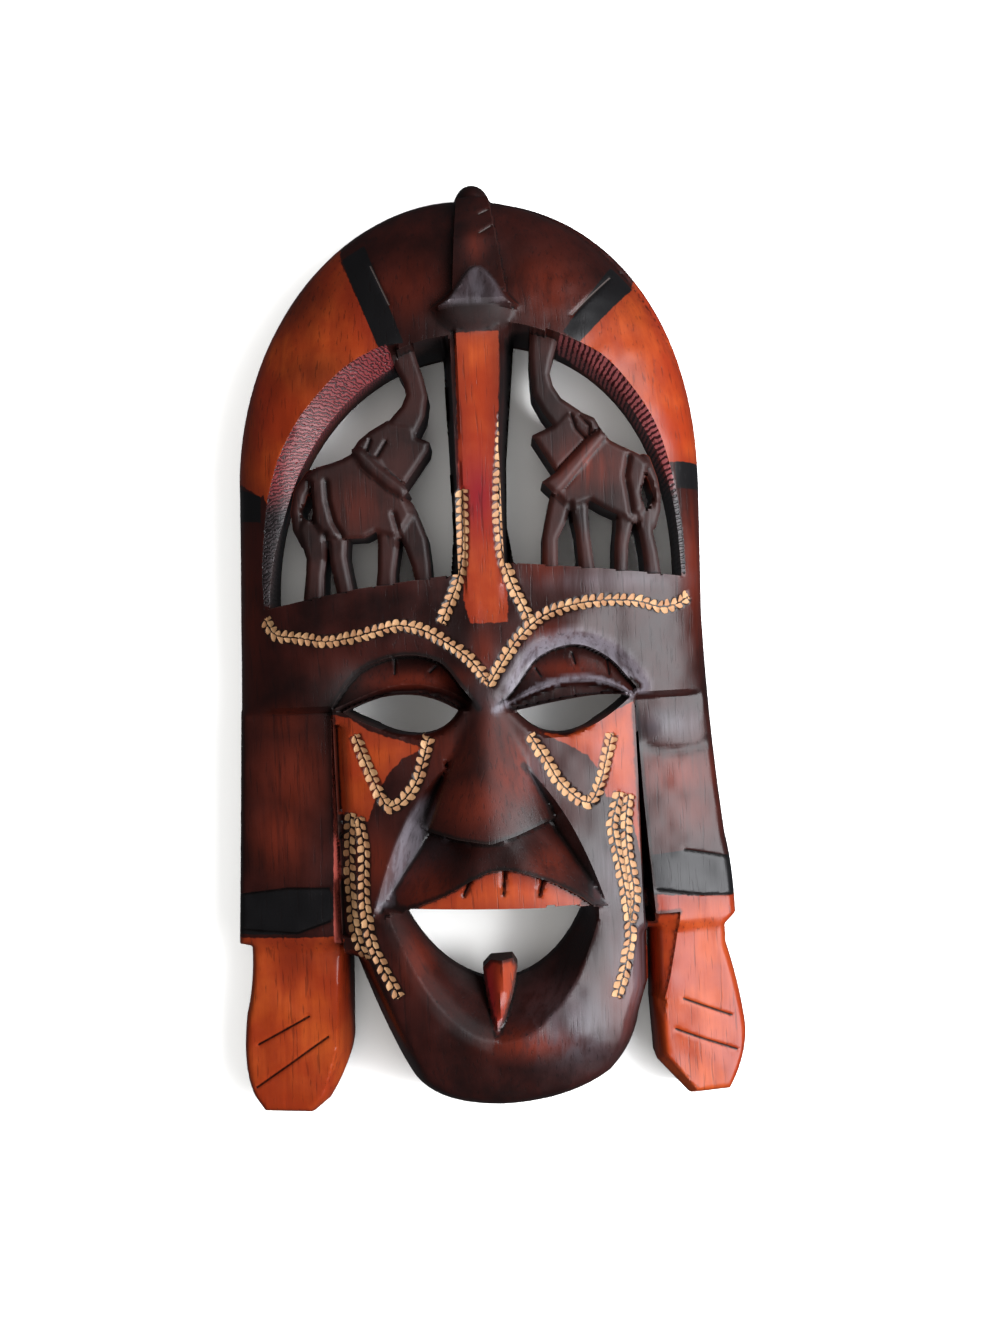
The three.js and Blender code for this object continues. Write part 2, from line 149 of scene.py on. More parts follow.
# A closed outline as a line that comes back to its start
def looped(shape):
    return np.vstack([shape, shape[:1]])


# Distance to a limb whose stations are (across, up, radius), below zero inside it
def limbDistance(points, stations):
    best = np.full(len(points), 1e9)
    for (ax, az, ar), (bx, bz, br) in zip(stations, stations[1:]):
        step = np.array((bx - ax, bz - az))
        rel = points - (ax, az)
        t = np.clip(rel @ step / (step @ step), 0, 1)
        off = rel - t[:, None] * step
        best = np.minimum(best, np.hypot(off[:, 0], off[:, 1]) - mix(ar, br, t))
    return best


# A faceted lump through a few corners (across, up, relief), read as the relief of its front
def lumpRelief(points, corners):
    lump = bmesh.new()
    for corner in corners:
        lump.verts.new(corner)
    bmesh.ops.convex_hull(lump, input=lump.verts)
    tree = BVHTree.FromBMesh(lump)
    lump.free()
    low, high = np.min(corners, axis=0)[:2], np.max(corners, axis=0)[:2]
    found = np.full(len(points), noWood)
    for i in np.nonzero(((points > low) & (points < high)).all(axis=1))[0]:
        hit = tree.ray_cast(Vector((*points[i], 200)), Vector((0, 0, -1)))[0]
        if hit:
            found[i] = hit.z
    return found


# The block's own outline, with a superellipse dome that is fuller on the right
block = {
    "domeHalf": 101.5, "domeSpring": 80, "domeRise": 126, "leftPower": 1.95, "rightPower": 2.2,
    "crownRelief": 46, "rimRelief": 18,
    "hollowAcross": 58, "hollowUp": 92, "hollowDepth": 27, "hollowMiddle": (2, -76),
}


def domeArc(steps=60):
    angle = np.pi * np.arange(steps + 1) / steps
    power = np.where(angle < np.pi / 2, block["rightPower"], block["leftPower"])
    across = np.abs(np.cos(angle)) ** (2 / power) * np.sign(np.cos(angle))
    up = np.abs(np.sin(angle)) ** (2 / power)
    return np.stack([block["domeHalf"] * across, block["domeSpring"] + block["domeRise"] * up], 1)


headLow = outline((-110.7, -117), (-70, -125), (76, -119), (103.8, -118), (108.9, -113),
                  ((108.8, -92), (105.8, -78)), ((100.8, -30), (100, 20)))
headShape = np.vstack([headLow, domeArc(), bend((-101.5, 80), (-104, 0), (-110.7, -117))[1:-1]])
jawShape = outline((-57, -88), (-60.2, -121), ((-46, -162), (-36, -178)), ((-26, -191), (2, -192)),
                   ((32, -192), (51, -179)), ((62, -168), (64, -155)), (69, -140), (69.4, -119), (66, -88))
leftLobe = outline((-105, -98), (-105.2, -122), ((-105.5, -136), (-108.8, -148)),
                   ((-112.5, -172), (-107, -184)), (-102.5, -190.8), (-80.6, -192), (-73.6, -186.5),
                   ((-62.5, -170), (-63.2, -158)), (-62, -124), (-64, -98))
rightLobe = outline((71.6, -98), (71, -124), (70.2, -152), (71.2, -176.3), (84.5, -191.4), (102.8, -190.4),
                    ((111.44, -176), (110.98, -163)), ((109.5, -146), (104, -126)), (103.8, -98))
knob = {"middle": (7, 203.6), "across": 8.2, "up": 9.0, "relief": 13.5, "out": 12.3}
blockShapes = (headShape, jawShape, leftLobe, rightLobe)


def blockDistance(points):
    far = np.min([shapeDistance(points, shape) for shape in blockShapes], axis=0)
    ball = np.hypot((points[:, 0] - knob["middle"][0]) / knob["across"],
                    (points[:, 1] - knob["middle"][1]) / knob["up"]) - 1
    return np.minimum(far, ball * knob["across"])


# The two windows: a quarter superellipse each, with the sill rising to the bar
windows = {
    "left": {"side": -1, "half": 88, "base": 31, "rise": 109, "power": 2, "foot": (29, 35.5, 39.5),
             "inner": 6,
             "lip": curved([(-26, 137.2), (-33, 137), (-48, 130), (-65, 115), (-77, 98.5), (-84, 82),
                            (-87.6, 67), (-90, 45), (-89.8, 29)])},
    "right": {"side": 1, "half": 90, "base": 38, "rise": 108, "power": 2.3, "foot": (35, 39.5, 43.5),
              "inner": 14,
              "lip": curved([(36, 141.5), (45, 137.5), (59, 130), (71, 117), (81, 100.5), (86.5, 83),
                             (89.8, 67), (91.5, 50), (91.5, 35)])},
}
for window in windows.values():
    side, half, power = window["side"], window["half"], window["power"]
    stop = np.arccos((window["inner"] / half) ** (power / 2))
    angle = stop * np.arange(31) / 30
    arch = np.stack([side * half * np.cos(angle) ** (2 / power),
                     window["base"] + window["rise"] * np.sin(angle) ** (2 / power)], 1)
    window["arch"] = np.vstack([[side * half, window["foot"][0]], arch])
    window["shape"] = np.vstack([window["arch"], [side * window["inner"], window["foot"][2]],
                                 [side * (window["inner"] + half) / 2, window["foot"][1]]])
    under = window["arch"][(window["arch"][:, 0] * side > window["lip"][0, 0] * side)]
    window["strip"], window["edge"] = np.vstack([under, window["lip"]]), under

bar = {
    "front": np.array([(-1.8, 146), (-1.8, 60), (-2.2, 20), (13.8, 20), (12.2, 62), (13.4, 90),
                       (16.5, 146)]),
    "back": np.array([(-9, 146), (-8, 60), (-12, 20), (22, 20), (16, 62), (17, 90), (23, 146)]),
    "frontRelief": 47, "backRelief": 4, "edgeRelief": 7, "foot": 22, "top": 146,
}

# The sloped strip round each window: the relief of its inner edge, its lean, and the painted width
stripCut = {"relief": 33, "lean": 3.4, "painted": 4.6}


# Unit vectors that point into a shape
def inward(points, shape):
    nudge = 0.05
    steps = [shapeDistance(points - move, shape) - shapeDistance(points + move, shape)
             for move in ((nudge, 0), (0, nudge))]
    into = np.stack(steps, 1)
    return into / np.maximum(np.hypot(*into.T), tiny)[:, None]


for window in windows.values():
    leaning = window["edge"] + stripCut["painted"] * inward(window["edge"], window["shape"])
    window["painted"] = np.vstack([leaning, window["lip"]])

# The elephants: limbs by stations (across, up, radius), flat parts by their corners
elephants = {
    "left": {
        "trunk": [(-27, 142, 5.2), (-24, 131, 4.9), (-21.2, 124, 4.3), (-20.1, 117, 4.5), (-22.3, 110, 5.4),
                  (-27, 103.5, 6.5)],
        "head": [(-49, 94.9), (-45.7, 99.3), (-41, 102.9), (-33.2, 107.1), (-22, 105), (-21, 99.3),
                 (-15.5, 97.1), (-16.3, 93.4), (-27.2, 79), (-34.3, 82.8), (-41.6, 89.2)],
        "ear": [(-49, 94.9), (-44.4, 95.4), (-37.9, 88.3), (-27.2, 79), (-25.5, 76.3), (-27.9, 73.3),
                (-34.6, 77.5), (-44.8, 87.1)],
        "body": [(-46, 95), (-53.7, 91.3), (-59.1, 89.7), (-64.5, 88.4), (-68.5, 85.2), (-67.5, 81.3),
                 (-66.9, 76), (-67, 66), (-62, 58), (-53.4, 57.4), (-45.4, 57.4), (-40.3, 59.8),
                 (-30.6, 57), (-24.4, 66.3), (-27.9, 75), (-36, 92)],
        "tail": [(-66.5, 84.5, 3.6), (-72, 78.5, 2.9), (-74, 70, 2.6), (-73, 63, 3), (-70, 57, 3.2)],
        "legs": [[(-29, 68, 6), (-23.6, 55, 5.2), (-21.8, 46, 4.2), (-20.7, 34, 3.2)],
                 [(-34.8, 63, 5), (-35.2, 55, 4.6), (-36.6, 43, 3.8), (-37.7, 32, 4.2)],
                 [(-57, 62, 4.5), (-57.2, 50, 3.6), (-54, 30, 3.5)],
                 [(-67, 62, 6.5), (-66.3, 50, 4.3), (-67.2, 43, 3.9), (-69, 26, 4.5)]],
        "gap": [(-67.6, 77), (-70.4, 74), (-72.2, 70.9), (-71.9, 68.6), (-69.4, 66.2), (-67.6, 67)],
        "creases": [[(-60.5, 82), (-60.2, 74), (-58.2, 65), (-55, 59)],
                    [(-32.3, 67), (-30.9, 61), (-30.4, 54)], [(-62, 60), (-61.7, 50)],
                    [(-67.3, 82), (-67, 66)]],
        "eyes": [[(-40.8, 99.1), (-42.5, 94.6)], [(-34.3, 98), (-38.1, 92.1)]],
    },
    "right": {
        "trunk": [(36, 143, 6.5), (33.6, 131, 5), (32.9, 124, 4.1), (33.8, 117, 4.7), (37.6, 110, 5),
                  (44, 103.5, 6.5)],
        "head": [(28.1, 97.8), (37, 101.6), (44, 108.5), (49.1, 107.2), (55.2, 104.2), (57.7, 99.2),
                 (51.2, 93.9), (37.8, 81.4)],
        "ear": [(31.4, 77.5), (36.3, 72.4), (39.1, 73), (60, 95.5), (57.5, 99), (53.4, 96.6), (50.5, 94),
                (37.8, 81.4)],
        "body": [(55, 101), (61.6, 94.1), (67, 91.1), (73.1, 88), (77.1, 83.7), (76.2, 79.6), (73.7, 71.4),
                 (74.8, 65.1), (71, 58.5), (63.6, 62.1), (57.5, 65.2), (51.8, 68.9), (43, 66), (37, 72),
                 (45, 80)],
        "tail": [(75.5, 85, 3.2), (79.2, 77.5, 2), (80.8, 70, 1.6), (79.5, 64, 2.4), (77, 58, 3)],
        "legs": [[(39.5, 70, 5), (36.6, 61, 4.3), (34, 54, 3.3), (33.2, 34, 3.5)],
                 [(47, 70, 4.2), (47.2, 63, 3.6), (48.1, 55, 3), (49.6, 34, 3.5)],
                 [(67, 63, 4), (65.6, 56, 3.3), (64.4, 50, 3), (63.2, 32, 2.8)],
                 [(74.5, 63, 4.5), (75.2, 54, 3), (76.5, 46, 3.2), (78, 28, 3.6)]],
        "gap": [(76.2, 79.6), (73.7, 71.4), (74.8, 65.1), (75.8, 63.6), (78.9, 68.3), (77.9, 73.9)],
        "creases": [[(68.8, 87), (67.1, 78.6), (68.2, 71), (69.2, 62)], [(43.2, 68), (42.6, 62)],
                    [(71.2, 62), (71, 57)]],
        "eyes": [[(45.3, 106), (47, 100), (50.5, 96)], [(49, 105.5), (52.8, 101), (52.5, 97)]],
    },
}
figureRelief = {
    "body": 37, "head": 36.4, "ear": 39, "trunk": 36, "tail": 34, "legs": 35, "back": 12, "edge": 30,
    "bevel": 1.5, "bevelWidth": 1.8, "creaseDepth": 1.7, "creaseWidth": 2.1,
    "eyeDepth": 1.3, "eyeWidth": 1.1,
}


# Each elephant part's name and distance
def elephantParts(points, elephant):
    for name in ("body", "head", "ear"):
        yield name, shapeDistance(points, elephant[name])
    for name in ("trunk", "tail"):
        yield name, limbDistance(points, elephant[name])
    for leg in elephant["legs"]:
        yield "legs", limbDistance(points, leg)


def figureDistance(points):
    far = np.full(len(points), 1e9)
    for elephant in elephants.values():
        one = np.min([d for name, d in elephantParts(points, elephant)], axis=0)
        one = np.maximum(one, -shapeDistance(points, elephant["gap"]))
        far = np.minimum(far, one)
    return far


# Eyes: the arch of the socket, the crest of the lid, and the slot right through
eyes = [
    {"arch": [(-63, -15), (-50, 0.5), (-32, 6.5), (-16, 3.5), (-6.5, -8), (0, -17)],
     "lid": [(-62, -15), (-40, -7), (-25, -6), (-10, -10.5), (0, -18)],
     "slot": [(-58, -16.3), (-31, -10), (-8.5, -17.6), (-27, -27.3)], "soft": 0.6},
    {"arch": [(8, -17.5), (16, -9), (26.5, 3.5), (42, 8), (56, 2), (67.5, -11)],
     "lid": [(7, -18), (25, -10.2), (40.5, -6.8), (55, -8.6), (66, -14.5)],
     "slot": [(15.6, -18.8), (48, -14), (65, -15.2), (37, -29.5)], "soft": 3.2},
]
# The socket under the arch, the lid that slopes into the slot, and the slope below the slot
socket = {"rim": 39, "floor": 33.5, "softReach": 6, "softFoot": -15, "lidDrop": 4, "lidReach": 2.6,
          "underRelief": 41, "underSlope": 2, "underReach": 5, "steps": 16}


# A curve from one point to another that passes through a third
def through(start, middle, end):
    start, middle, end = (np.array(p, float) for p in (start, middle, end))
    return bend(start, 2 * middle - 0.5 * start - 0.5 * end, end, socket["steps"])


for eye in eyes:
    start, top, end, bottom = eye["slot"]
    eye["hole"] = np.vstack([through(start, top, end), through(end, bottom, start)[1:-1]])
    eye["under"] = through(start, bottom, end)
    eye["arch"], eye["lid"] = curved(eye["arch"]), curved(eye["lid"])

# Mouth: the opening itself, how its slope widens towards the lip, and the tongue that stands in it
mouth = {
    "hole": outline((-34, -99.6), (-36, -103), ((-22, -131), (3, -136)), ((28, -133), (41, -106)),
                    (40.5, -102)),
    "top": -101.5, "middle": 2.4, "innerRelief": 26.5, "outerRelief": 58, "wider": 0.25, "lower": 0.9,
    "widest": 1.6, "half": 62, "blend": 1.2,
}
tongue = {
    "shape": outline((-3.4, -128.6), (0.1, -124.8), (9.5, -124.5), (11.6, -128.2), (9.3, -138), (5.6, -148),
                     (2.2, -154), (1, -154), (-0.5, -147), (-2.2, -138.2)),
    "up": (-154, -141, -124), "ridge": (44.5, 43.5, 39), "middle": (1.6, 4.1, 5), "slope": 0.95,
}


# Distance to the wood, below zero where there is wood
def woodDistance(points):
    far = blockDistance(points)
    figures = np.minimum(figureDistance(points), shapeDistance(points, bar["back"]))
    for window in windows.values():
        gap = np.maximum(shapeDistance(points, window["shape"]), -figures)
        far = np.maximum(far, -gap)
    for hole in (*(eye["hole"] for eye in eyes), mouth["hole"]):
        far = np.maximum(far, -shapeDistance(points, hole))
    return np.minimum(far, shapeDistance(points, tongue["shape"]))


# Slow seeded unevenness, like the flats a gouge leaves
rng = np.random.default_rng(11)
lattice = rng.uniform(-1, 1, (64, 64))
toolMarks = ({"depth": 0.45, "size": 13, "shift": 0}, {"depth": 0.25, "size": 6, "shift": 7})


def unevenness(points, size, shift):
    place = points / size + 20 + shift
    square = np.floor(place).astype(int)
    t = place - square
    t = t * t * (3 - 2 * t)

    def corner(i, j):
        return lattice[(square[:, 0] + i) % 64, (square[:, 1] + j) % 64]

    low, high = (mix(corner(0, j), corner(1, j), t[:, 0]) for j in (0, 1))
    return mix(low, high, t[:, 1])


# The block before anything is cut in it: a domed head, a flatter face, and the two ears.
# Runs are the heights, or the distances from the middle, over which one form passes into the next.
headForm = {"half": 101.5, "flare": 7.5, "flareHeight": 195, "power": 0.7, "templeRun": (44, 62),
            "templeDrop": 2.8, "templeFoot": (34, -12), "foreheadOut": 2.5, "foreheadUp": 14,
            "foreheadReach": 11, "middleFoot": (24, -8), "sideFoot": (-13, -17)}
faceForm = {"middle": 3, "half": 68, "relief": 35, "out": 11, "mouthOut": 3, "mouthRun": (-60, -105),
            "power": 2.2, "chinBack": 12, "chinRun": (-150, -197)}
earForm = {"start": 66, "width": 44, "relief": (31, 27), "drop": (9, 6), "lobeRun": (-112, -120),
           "power": 1.5, "middle": 2, "joint": (64.5, 65.2), "swell": 1.1,
           "swellUp": ((-40, -32), (-19, -30)),
           "swellAcross": ((66, 80), (102, 86))}


def baseRelief(x, z):
    spring = block["domeSpring"]
    half = headForm["half"] + headForm["flare"] * np.clip((spring - z) / headForm["flareHeight"], 0, 1)
    out = np.minimum(1, np.hypot(x / half, np.maximum(0, z - spring) / block["domeRise"]))
    head = mix(block["rimRelief"], block["crownRelief"], (1 - out ** 4) ** headForm["power"])

    out = np.clip(np.abs(x - faceForm["middle"]) / faceForm["half"], 0, 1)
    bulge = faceForm["out"] + faceForm["mouthOut"] * smooth(*faceForm["mouthRun"], z)
    face = faceForm["relief"] + bulge * (1 - out ** faceForm["power"])
    face -= faceForm["chinBack"] * smooth(*faceForm["chinRun"], z)

    out = np.clip((np.abs(x) - earForm["start"]) / earForm["width"], 0, 1)
    lobe = smooth(*earForm["lobeRun"], z)
    ear = mix(*earForm["relief"], lobe) - mix(*earForm["drop"], lobe) * out ** earForm["power"]
    face = mix(face, ear, smooth(*earForm["joint"], np.abs(x - earForm["middle"])))
    (lower, upper), (inner, outer) = earForm["swellUp"], earForm["swellAcross"]
    swell = smooth(*lower, z) * smooth(*upper, z) * smooth(*inner, x) * smooth(*outer, x)
    face = face + earForm["swell"] * swell

    side = smooth(*headForm["templeRun"], np.abs(x))
    head = head - headForm["templeDrop"] * smooth(*headForm["templeFoot"], z) * side
    below = mix(smooth(*headForm["middleFoot"], z), smooth(*headForm["sideFoot"], z), side)
    forehead = np.exp(-((z - headForm["foreheadUp"]) / headForm["foreheadReach"]) ** 2)
    return mix(head, face, below) + headForm["foreheadOut"] * forehead * (1 - side)


crest = {
    "ridge": [(0.5, 204, 26.5), (-1, 182, 41.5), (-2.5, 158, 48), (14, 204, 26.5), (16.5, 182, 41.5),
              (19.5, 158, 48), (-1, 204, 16), (-4, 155, 38), (15.5, 204, 16), (20.5, 155, 38)],
    "bell": {"shape": curved([(-8.5, 150.5), (-4, 154.5), (0.5, 161), (4, 166.5), (7.6, 168.3),
                              (11.5, 166.5), (15.5, 161), (18.6, 155), (21.5, 150.5)], 3),
             "relief": ((150.5, 168.5), (53.8, 47)), "fall": 2.2, "inset": 1.2, "foot": 150.4},
    "lip": {"middle": (5.6, 150), "across": 16.5, "above": 4, "below": 10.5, "relief": 52.2, "fall": 8,
            "shadeUp": 146.5, "shadeReach": 6.5, "shadeTop": 152},
    "blend": 1,
}
nose = {
    "top": -9, "tip": -69, "ridge": (45, 63), "edge": ((-66, 51), (-43, 46.5), (-9, 44.5)),
    "middle": (4, 2), "half": (4.5, 26), "power": 1.8, "sideSlope": 3.5, "footSlope": 7, "blend": 1.2,
    "foot": ((-24.5, -66.5), (-10, -70), (3, -72), (13, -69.5), (26.5, -65)),
}
# A crease runs down beside each side of the nose to the corner of the muzzle
creaseLines = {
    "left": bend((-16, -42), (-36, -60), (-47.5, -101), 16),
    "right": bend((15, -39), (37, -58), (50, -101), 16),
}
creaseCut = {"floor": 33, "reach": 30, "top": -36, "bottom": -103, "topRun": (-37, -45),
             "bottomRun": (-104, -101), "slopeRun": (-62, -48),
             "left": {"turn": 1, "slopes": (1.05, 1.8)}, "right": {"turn": -1, "slopes": (1.8, 1.8)}}
muzzle = {
    "up": (-103, -88, -70), "relief": (54.5, 55.5, 47), "middle": 3.5, "half": 48,
    "top": -62, "bottom": -109, "foot": -102.5, "footSlope": 8, "edgeBlend": 4, "blend": 0.8,
    "sides": (((-12, -88, 54.5), (-43.5, -99.5, 40.5), (-22.6, -69.4, 33.5)),
              ((21, -88, 54.5), (45.4, -98.1, 44), (28.3, -70.8, 35))),
}
gum = {
    "arc": curved([(-32, -99), (-25, -96.6), (-16.2, -93.1), (-8.1, -88.8), (-2.3, -86.2), (2.1, -84.7),
                   (9.3, -84.3), (16.3, -86), (23.4, -88.7), (30.4, -92.1), (38, -96.7), (43.6, -101)], 3),
    "corners": ((44, -106), (-33, -106)), "relief": 49.5, "round": 6, "middle": 3, "half": 43,
    "gaps": (((-6.3, -87.2), (-9.5, -94.7)), ((8.1, -84.5), (6.9, -95)), ((24, -89), (22, -96.1))),
    "gapDepth": 3.4, "gapWidth": 1.7, "gapNarrows": 0.08, "gapFades": 0.06,
}
earGrooves = {
    "left": np.array([(-63.6, -19), (-62.4, -19), (-62.2, -60), (-63, -116), (-67, -116), (-64.6, -60)],
                     float),
    "right": np.array([(66.4, -19), (67.6, -19), (69.2, -60), (72.5, -114), (67.5, -114), (66.6, -60)],
                      float),
}
grooveCut = {"floor": (15, 12), "floorRun": (-30, -100), "wallTop": 27, "wallSlope": 14,
             "bevelTop": 31, "bevelDrop": 6, "cheekDrop": 5, "cheekReach": 6.5,
             "cheekStart": -63, "cheekTop": -22, "cheekBottom": -112}
# Flats cut on the lobes: an edge, and a lower place with its relief, that the flat slopes down to
lobeFlats = {
    "right": {"lobe": rightLobe, "side": 1,
              "flats": [((76.7, -148), (72, -169), (68, -158), 19),
                        ((71.5, -167), (90, -189), (74, -188), 8)]},
    "left": {"lobe": leftLobe, "side": -1,
             "flats": [((-65, -116), (-69, -162), (-60, -140), 9),
                       ((-69, -162), (-79, -193), (-65, -180), 8)]},
}
flatCut = {"edgeRelief": 27.5, "reach": 96}
# A hollow cut beside the neck of the right lobe, with an upright wall at its top
lobeHollow = {"edge": [(83, -109.5), (81.6, -119), (77.5, -138), (74.5, -148)], "drop": 1.2, "slope": 0.42}
lobeHollow["shape"] = lobeHollow["edge"] + [(69.5, -148), (69, -109.5)]

# Thin lines cut into the ears and the brow
incised = [
    [(-103, -160), (-80, -148)], [(-105, -179), (-72, -157)], [(83, -148), (104, -157)],
    [(79, -161), (105.5, -172)], [(-106.5, -94), (-86, -91.5), (-68, -92)],
    [(-107.5, -109.5), (-83, -111), (-68, -106)], [(86, -83), (106.5, -87.5)],
    [(73, -99.5), (90, -102.5), (107, -104)], [(24.9, -1.1), (27.3, -5.1)], [(41, 4.5), (42.1, -0.2)],
    [(55.9, 0.8), (56.4, -5.6)], [(-34.7, 6.2), (-35, -1.3)], [(-17.3, 1.3), (-20, -1.2)],
]
# Scratches that show paler than the stain
scratches = [[(9.9, 194.3), (14, 196.5)], [(9.8, 183.8), (16, 188.2)], [(-37.1, 172.9), (-29.6, 154.6)],
             [(65.4, 165.7), (47.1, 146.8)]]
thinCut = {"depth": 0.8, "width": 0.9}
# A shallow fold across the top of the right ear
earFold = {"line": curved([(71.5, -37.5), (80.7, -40), (94.6, -39), (99, -35.5)]),
           "depth": 0.9, "width": 3.2}


# The plane through three corners, as a relief
def planeRelief(corners, x, z):
    a, b, c = (np.array(p, float) for p in corners)
    n = np.cross(b - a, c - a)
    return a[2] - (n[0] * (x - a[0]) + n[1] * (z - a[1])) / n[2]


def noseRelief(x, z):
    down = np.clip((nose["top"] - z) / (nose["top"] - nose["tip"]), 0, 1)
    ridge, middle, half = (mix(*nose[name], down) for name in ("ridge", "middle", "half"))
    edge = np.interp(z, *np.array(nose["edge"]).T)
    out = np.abs(x - middle) / half
    face = ridge - (ridge - edge) * np.minimum(out, 1) ** nose["power"]
    face -= np.maximum(0, out - 1) * half * nose["sideSlope"]
    face -= np.maximum(0, np.interp(x, *np.array(nose["foot"]).T) - z) * nose["footSlope"]
    return np.where(z > nose["top"] + 2, noWood, face)


def muzzleRelief(x, z):
    face = np.interp(z, muzzle["up"], muzzle["relief"])
    for corners in muzzle["sides"]:
        face = softMin(face, planeRelief(corners, x, z), muzzle["edgeBlend"])
    face -= np.maximum(0, muzzle["foot"] - z) * muzzle["footSlope"]
    near = (np.abs(x - muzzle["middle"]) < muzzle["half"]) & (z < muzzle["top"]) & (z > muzzle["bottom"])
    return np.where(near, face, noWood)


# Relief of the mouth's slope: how far the opening must be widened to pass through each point
def mouthRelief(points):
    low, high = np.zeros(len(points)), np.full(len(points), mouth["widest"])
    for step in range(14):
        grow = (low + high) / 2
        x = mouth["middle"] + (points[:, 0] - mouth["middle"]) / (1 + mouth["wider"] * grow)
        z = mouth["top"] + (points[:, 1] - mouth["top"]) / (1 + mouth["lower"] * grow)
        inside = shapeDistance(np.stack([x, z], 1), mouth["hole"]) < 0
        high, low = np.where(inside, grow, high), np.where(inside, low, grow)
    return mix(mouth["innerRelief"], mouth["outerRelief"], low)


def tongueRelief(points):
    x, z = points.T
    ridge, middle = (np.interp(z, tongue["up"], tongue[name]) for name in ("ridge", "middle"))
    face = ridge - np.abs(x - middle) * tongue["slope"]
    return np.where(shapeDistance(points, tongue["shape"]) < 0.4, face, noWood)


def barRelief(x, z):
    lines = [np.interp(z, side[order, 1], side[order, 0]) for side in (bar["back"], bar["front"])
             for order in (slice(3, None, -1), slice(4, None))]
    fromLeft = (x - lines[0]) / np.maximum(lines[2] - lines[0], 0.1)
    fromRight = (lines[1] - x) / np.maximum(lines[1] - lines[3], 0.1)
    t = np.minimum(fromLeft, fromRight)
    face = mix(bar["backRelief"], bar["frontRelief"], np.clip(t, 0, 1))
    return np.where((t > -0.15) & (z > bar["foot"]) & (z < bar["top"]), face, noWood)


# How deep a groove beside a line is at each point
def grooveDepth(points, line, depth, width):
    return depth * (1 - smooth(0, width, alongLine(points, line)[0]))


def figureFront(points):
    front = np.full(len(points), noWood)
    for elephant in elephants.values():
        one = np.full(len(points), noWood)
        for name, far in elephantParts(points, elephant):
            bevel = figureRelief["bevel"] * np.clip(1 + far / figureRelief["bevelWidth"], 0, 1) ** 1.2
            one = np.maximum(one, np.where(far < 0.5, figureRelief[name] - bevel, noWood))
        for kind, cuts in (("crease", elephant["creases"]), ("eye", elephant["eyes"])):
            for cut in cuts:
                one -= grooveDepth(points, cut, figureRelief[kind + "Depth"], figureRelief[kind + "Width"])
        front = np.maximum(front, np.where(shapeDistance(points, elephant["gap"]) < 0, noWood, one))
    return front


# How wide a window's strip is beside each point, how far across it the point is, and whether it is on it
def stripPlace(points, window):
    inner, outer = (alongLine(points, window[name])[0] for name in ("edge", "lip"))
    onStrip = (shapeDistance(points, window["strip"]) < -onEdge) | (inner < 0.06)
    return inner + outer, inner / (inner + outer + tiny), onStrip


# The strips lean in over the openings
def leanIn(points):
    moved = points.copy()
    for window in windows.values():
        width, across, onStrip = stripPlace(points, window)
        lean = stripCut["lean"] * smooth(0.5, 5, width) * (1 - across) * onStrip
        moved += lean[:, None] * inward(points, window["shape"])
    return moved


# The relief of the block's rounded rim, by the depth inside the outline
rim = {"relief": 15, "rise": 26, "width": 7.5, "power": 0.8, "blend": 7}


def rimRelief(points):
    depth = np.sqrt(sum(np.minimum(0, shapeDistance(points, shape)) ** 2 for shape in blockShapes))
    return rim["relief"] + rim["rise"] * (depth / rim["width"]) ** rim["power"]


# The block with its rim rounded, and the knob and ridge on top
def roundBlock(points):
    x, z = points.T
    base = baseRelief(x, z)
    for marks in toolMarks:
        base = base + marks["depth"] * unevenness(points, marks["size"], marks["shift"])
    front = softMin(base, rimRelief(points), rim["blend"])
    ball = np.hypot((x - knob["middle"][0]) / knob["across"], (z - knob["middle"][1]) / knob["up"])
    bulge = knob["relief"] + knob["out"] * np.sqrt(np.maximum(0, 1 - ball ** 2))
    front = np.maximum(front, np.where(ball < 1, bulge, noWood))
    return np.maximum(front, lumpRelief(points, crest["ridge"]))


def cutWindows(points, front):
    for window in windows.values():
        across, onStrip = stripPlace(points, window)[1:]
        front = np.where(onStrip, mix(stripCut["relief"], front, across), front)
        front = np.where(shapeDistance(points, window["shape"]) < -onEdge, noWood, front)
    return front


# Each eye has a socket under the arch, a lid that slopes into the slot, and a slope below the slot
def cutEyes(points, front):
    for eye in eyes:
        arch, lid, under = (alongLine(points, eye[name])[0] for name in ("arch", "lid", "under"))
        inSocket = shapeDistance(points, np.vstack([eye["arch"], eye["lid"][::-1]])) < -onEdge
        slotTop = eye["hole"][:socket["steps"] + 1]
        inLid = shapeDistance(points, np.vstack([eye["lid"], slotTop[::-1]])) < -onEdge
        outside = ~inSocket & ~inLid
        above = outside & (points[:, 1] > socket["softFoot"])
        front = front - eye["soft"] * (1 - smooth(0, socket["softReach"], arch)) * above
        floor = mix(socket["rim"], socket["floor"], (lid / (lid + arch + tiny)) ** 0.8)
        front = np.where(inSocket, np.minimum(front, floor), front)
        slope = socket["rim"] - socket["lidDrop"] * smooth(0, socket["lidReach"], lid)
        front = np.where(inLid, np.minimum(front, slope), front)
        onLid = outside & (lid < 0.06)
        front = np.where(onLid, np.minimum(front, socket["rim"]), front)
        below = outside & ~onLid & (under < socket["underReach"])
        slope = socket["underRelief"] + socket["underSlope"] * under
        front = np.where(below, np.minimum(front, slope), front)
    return front


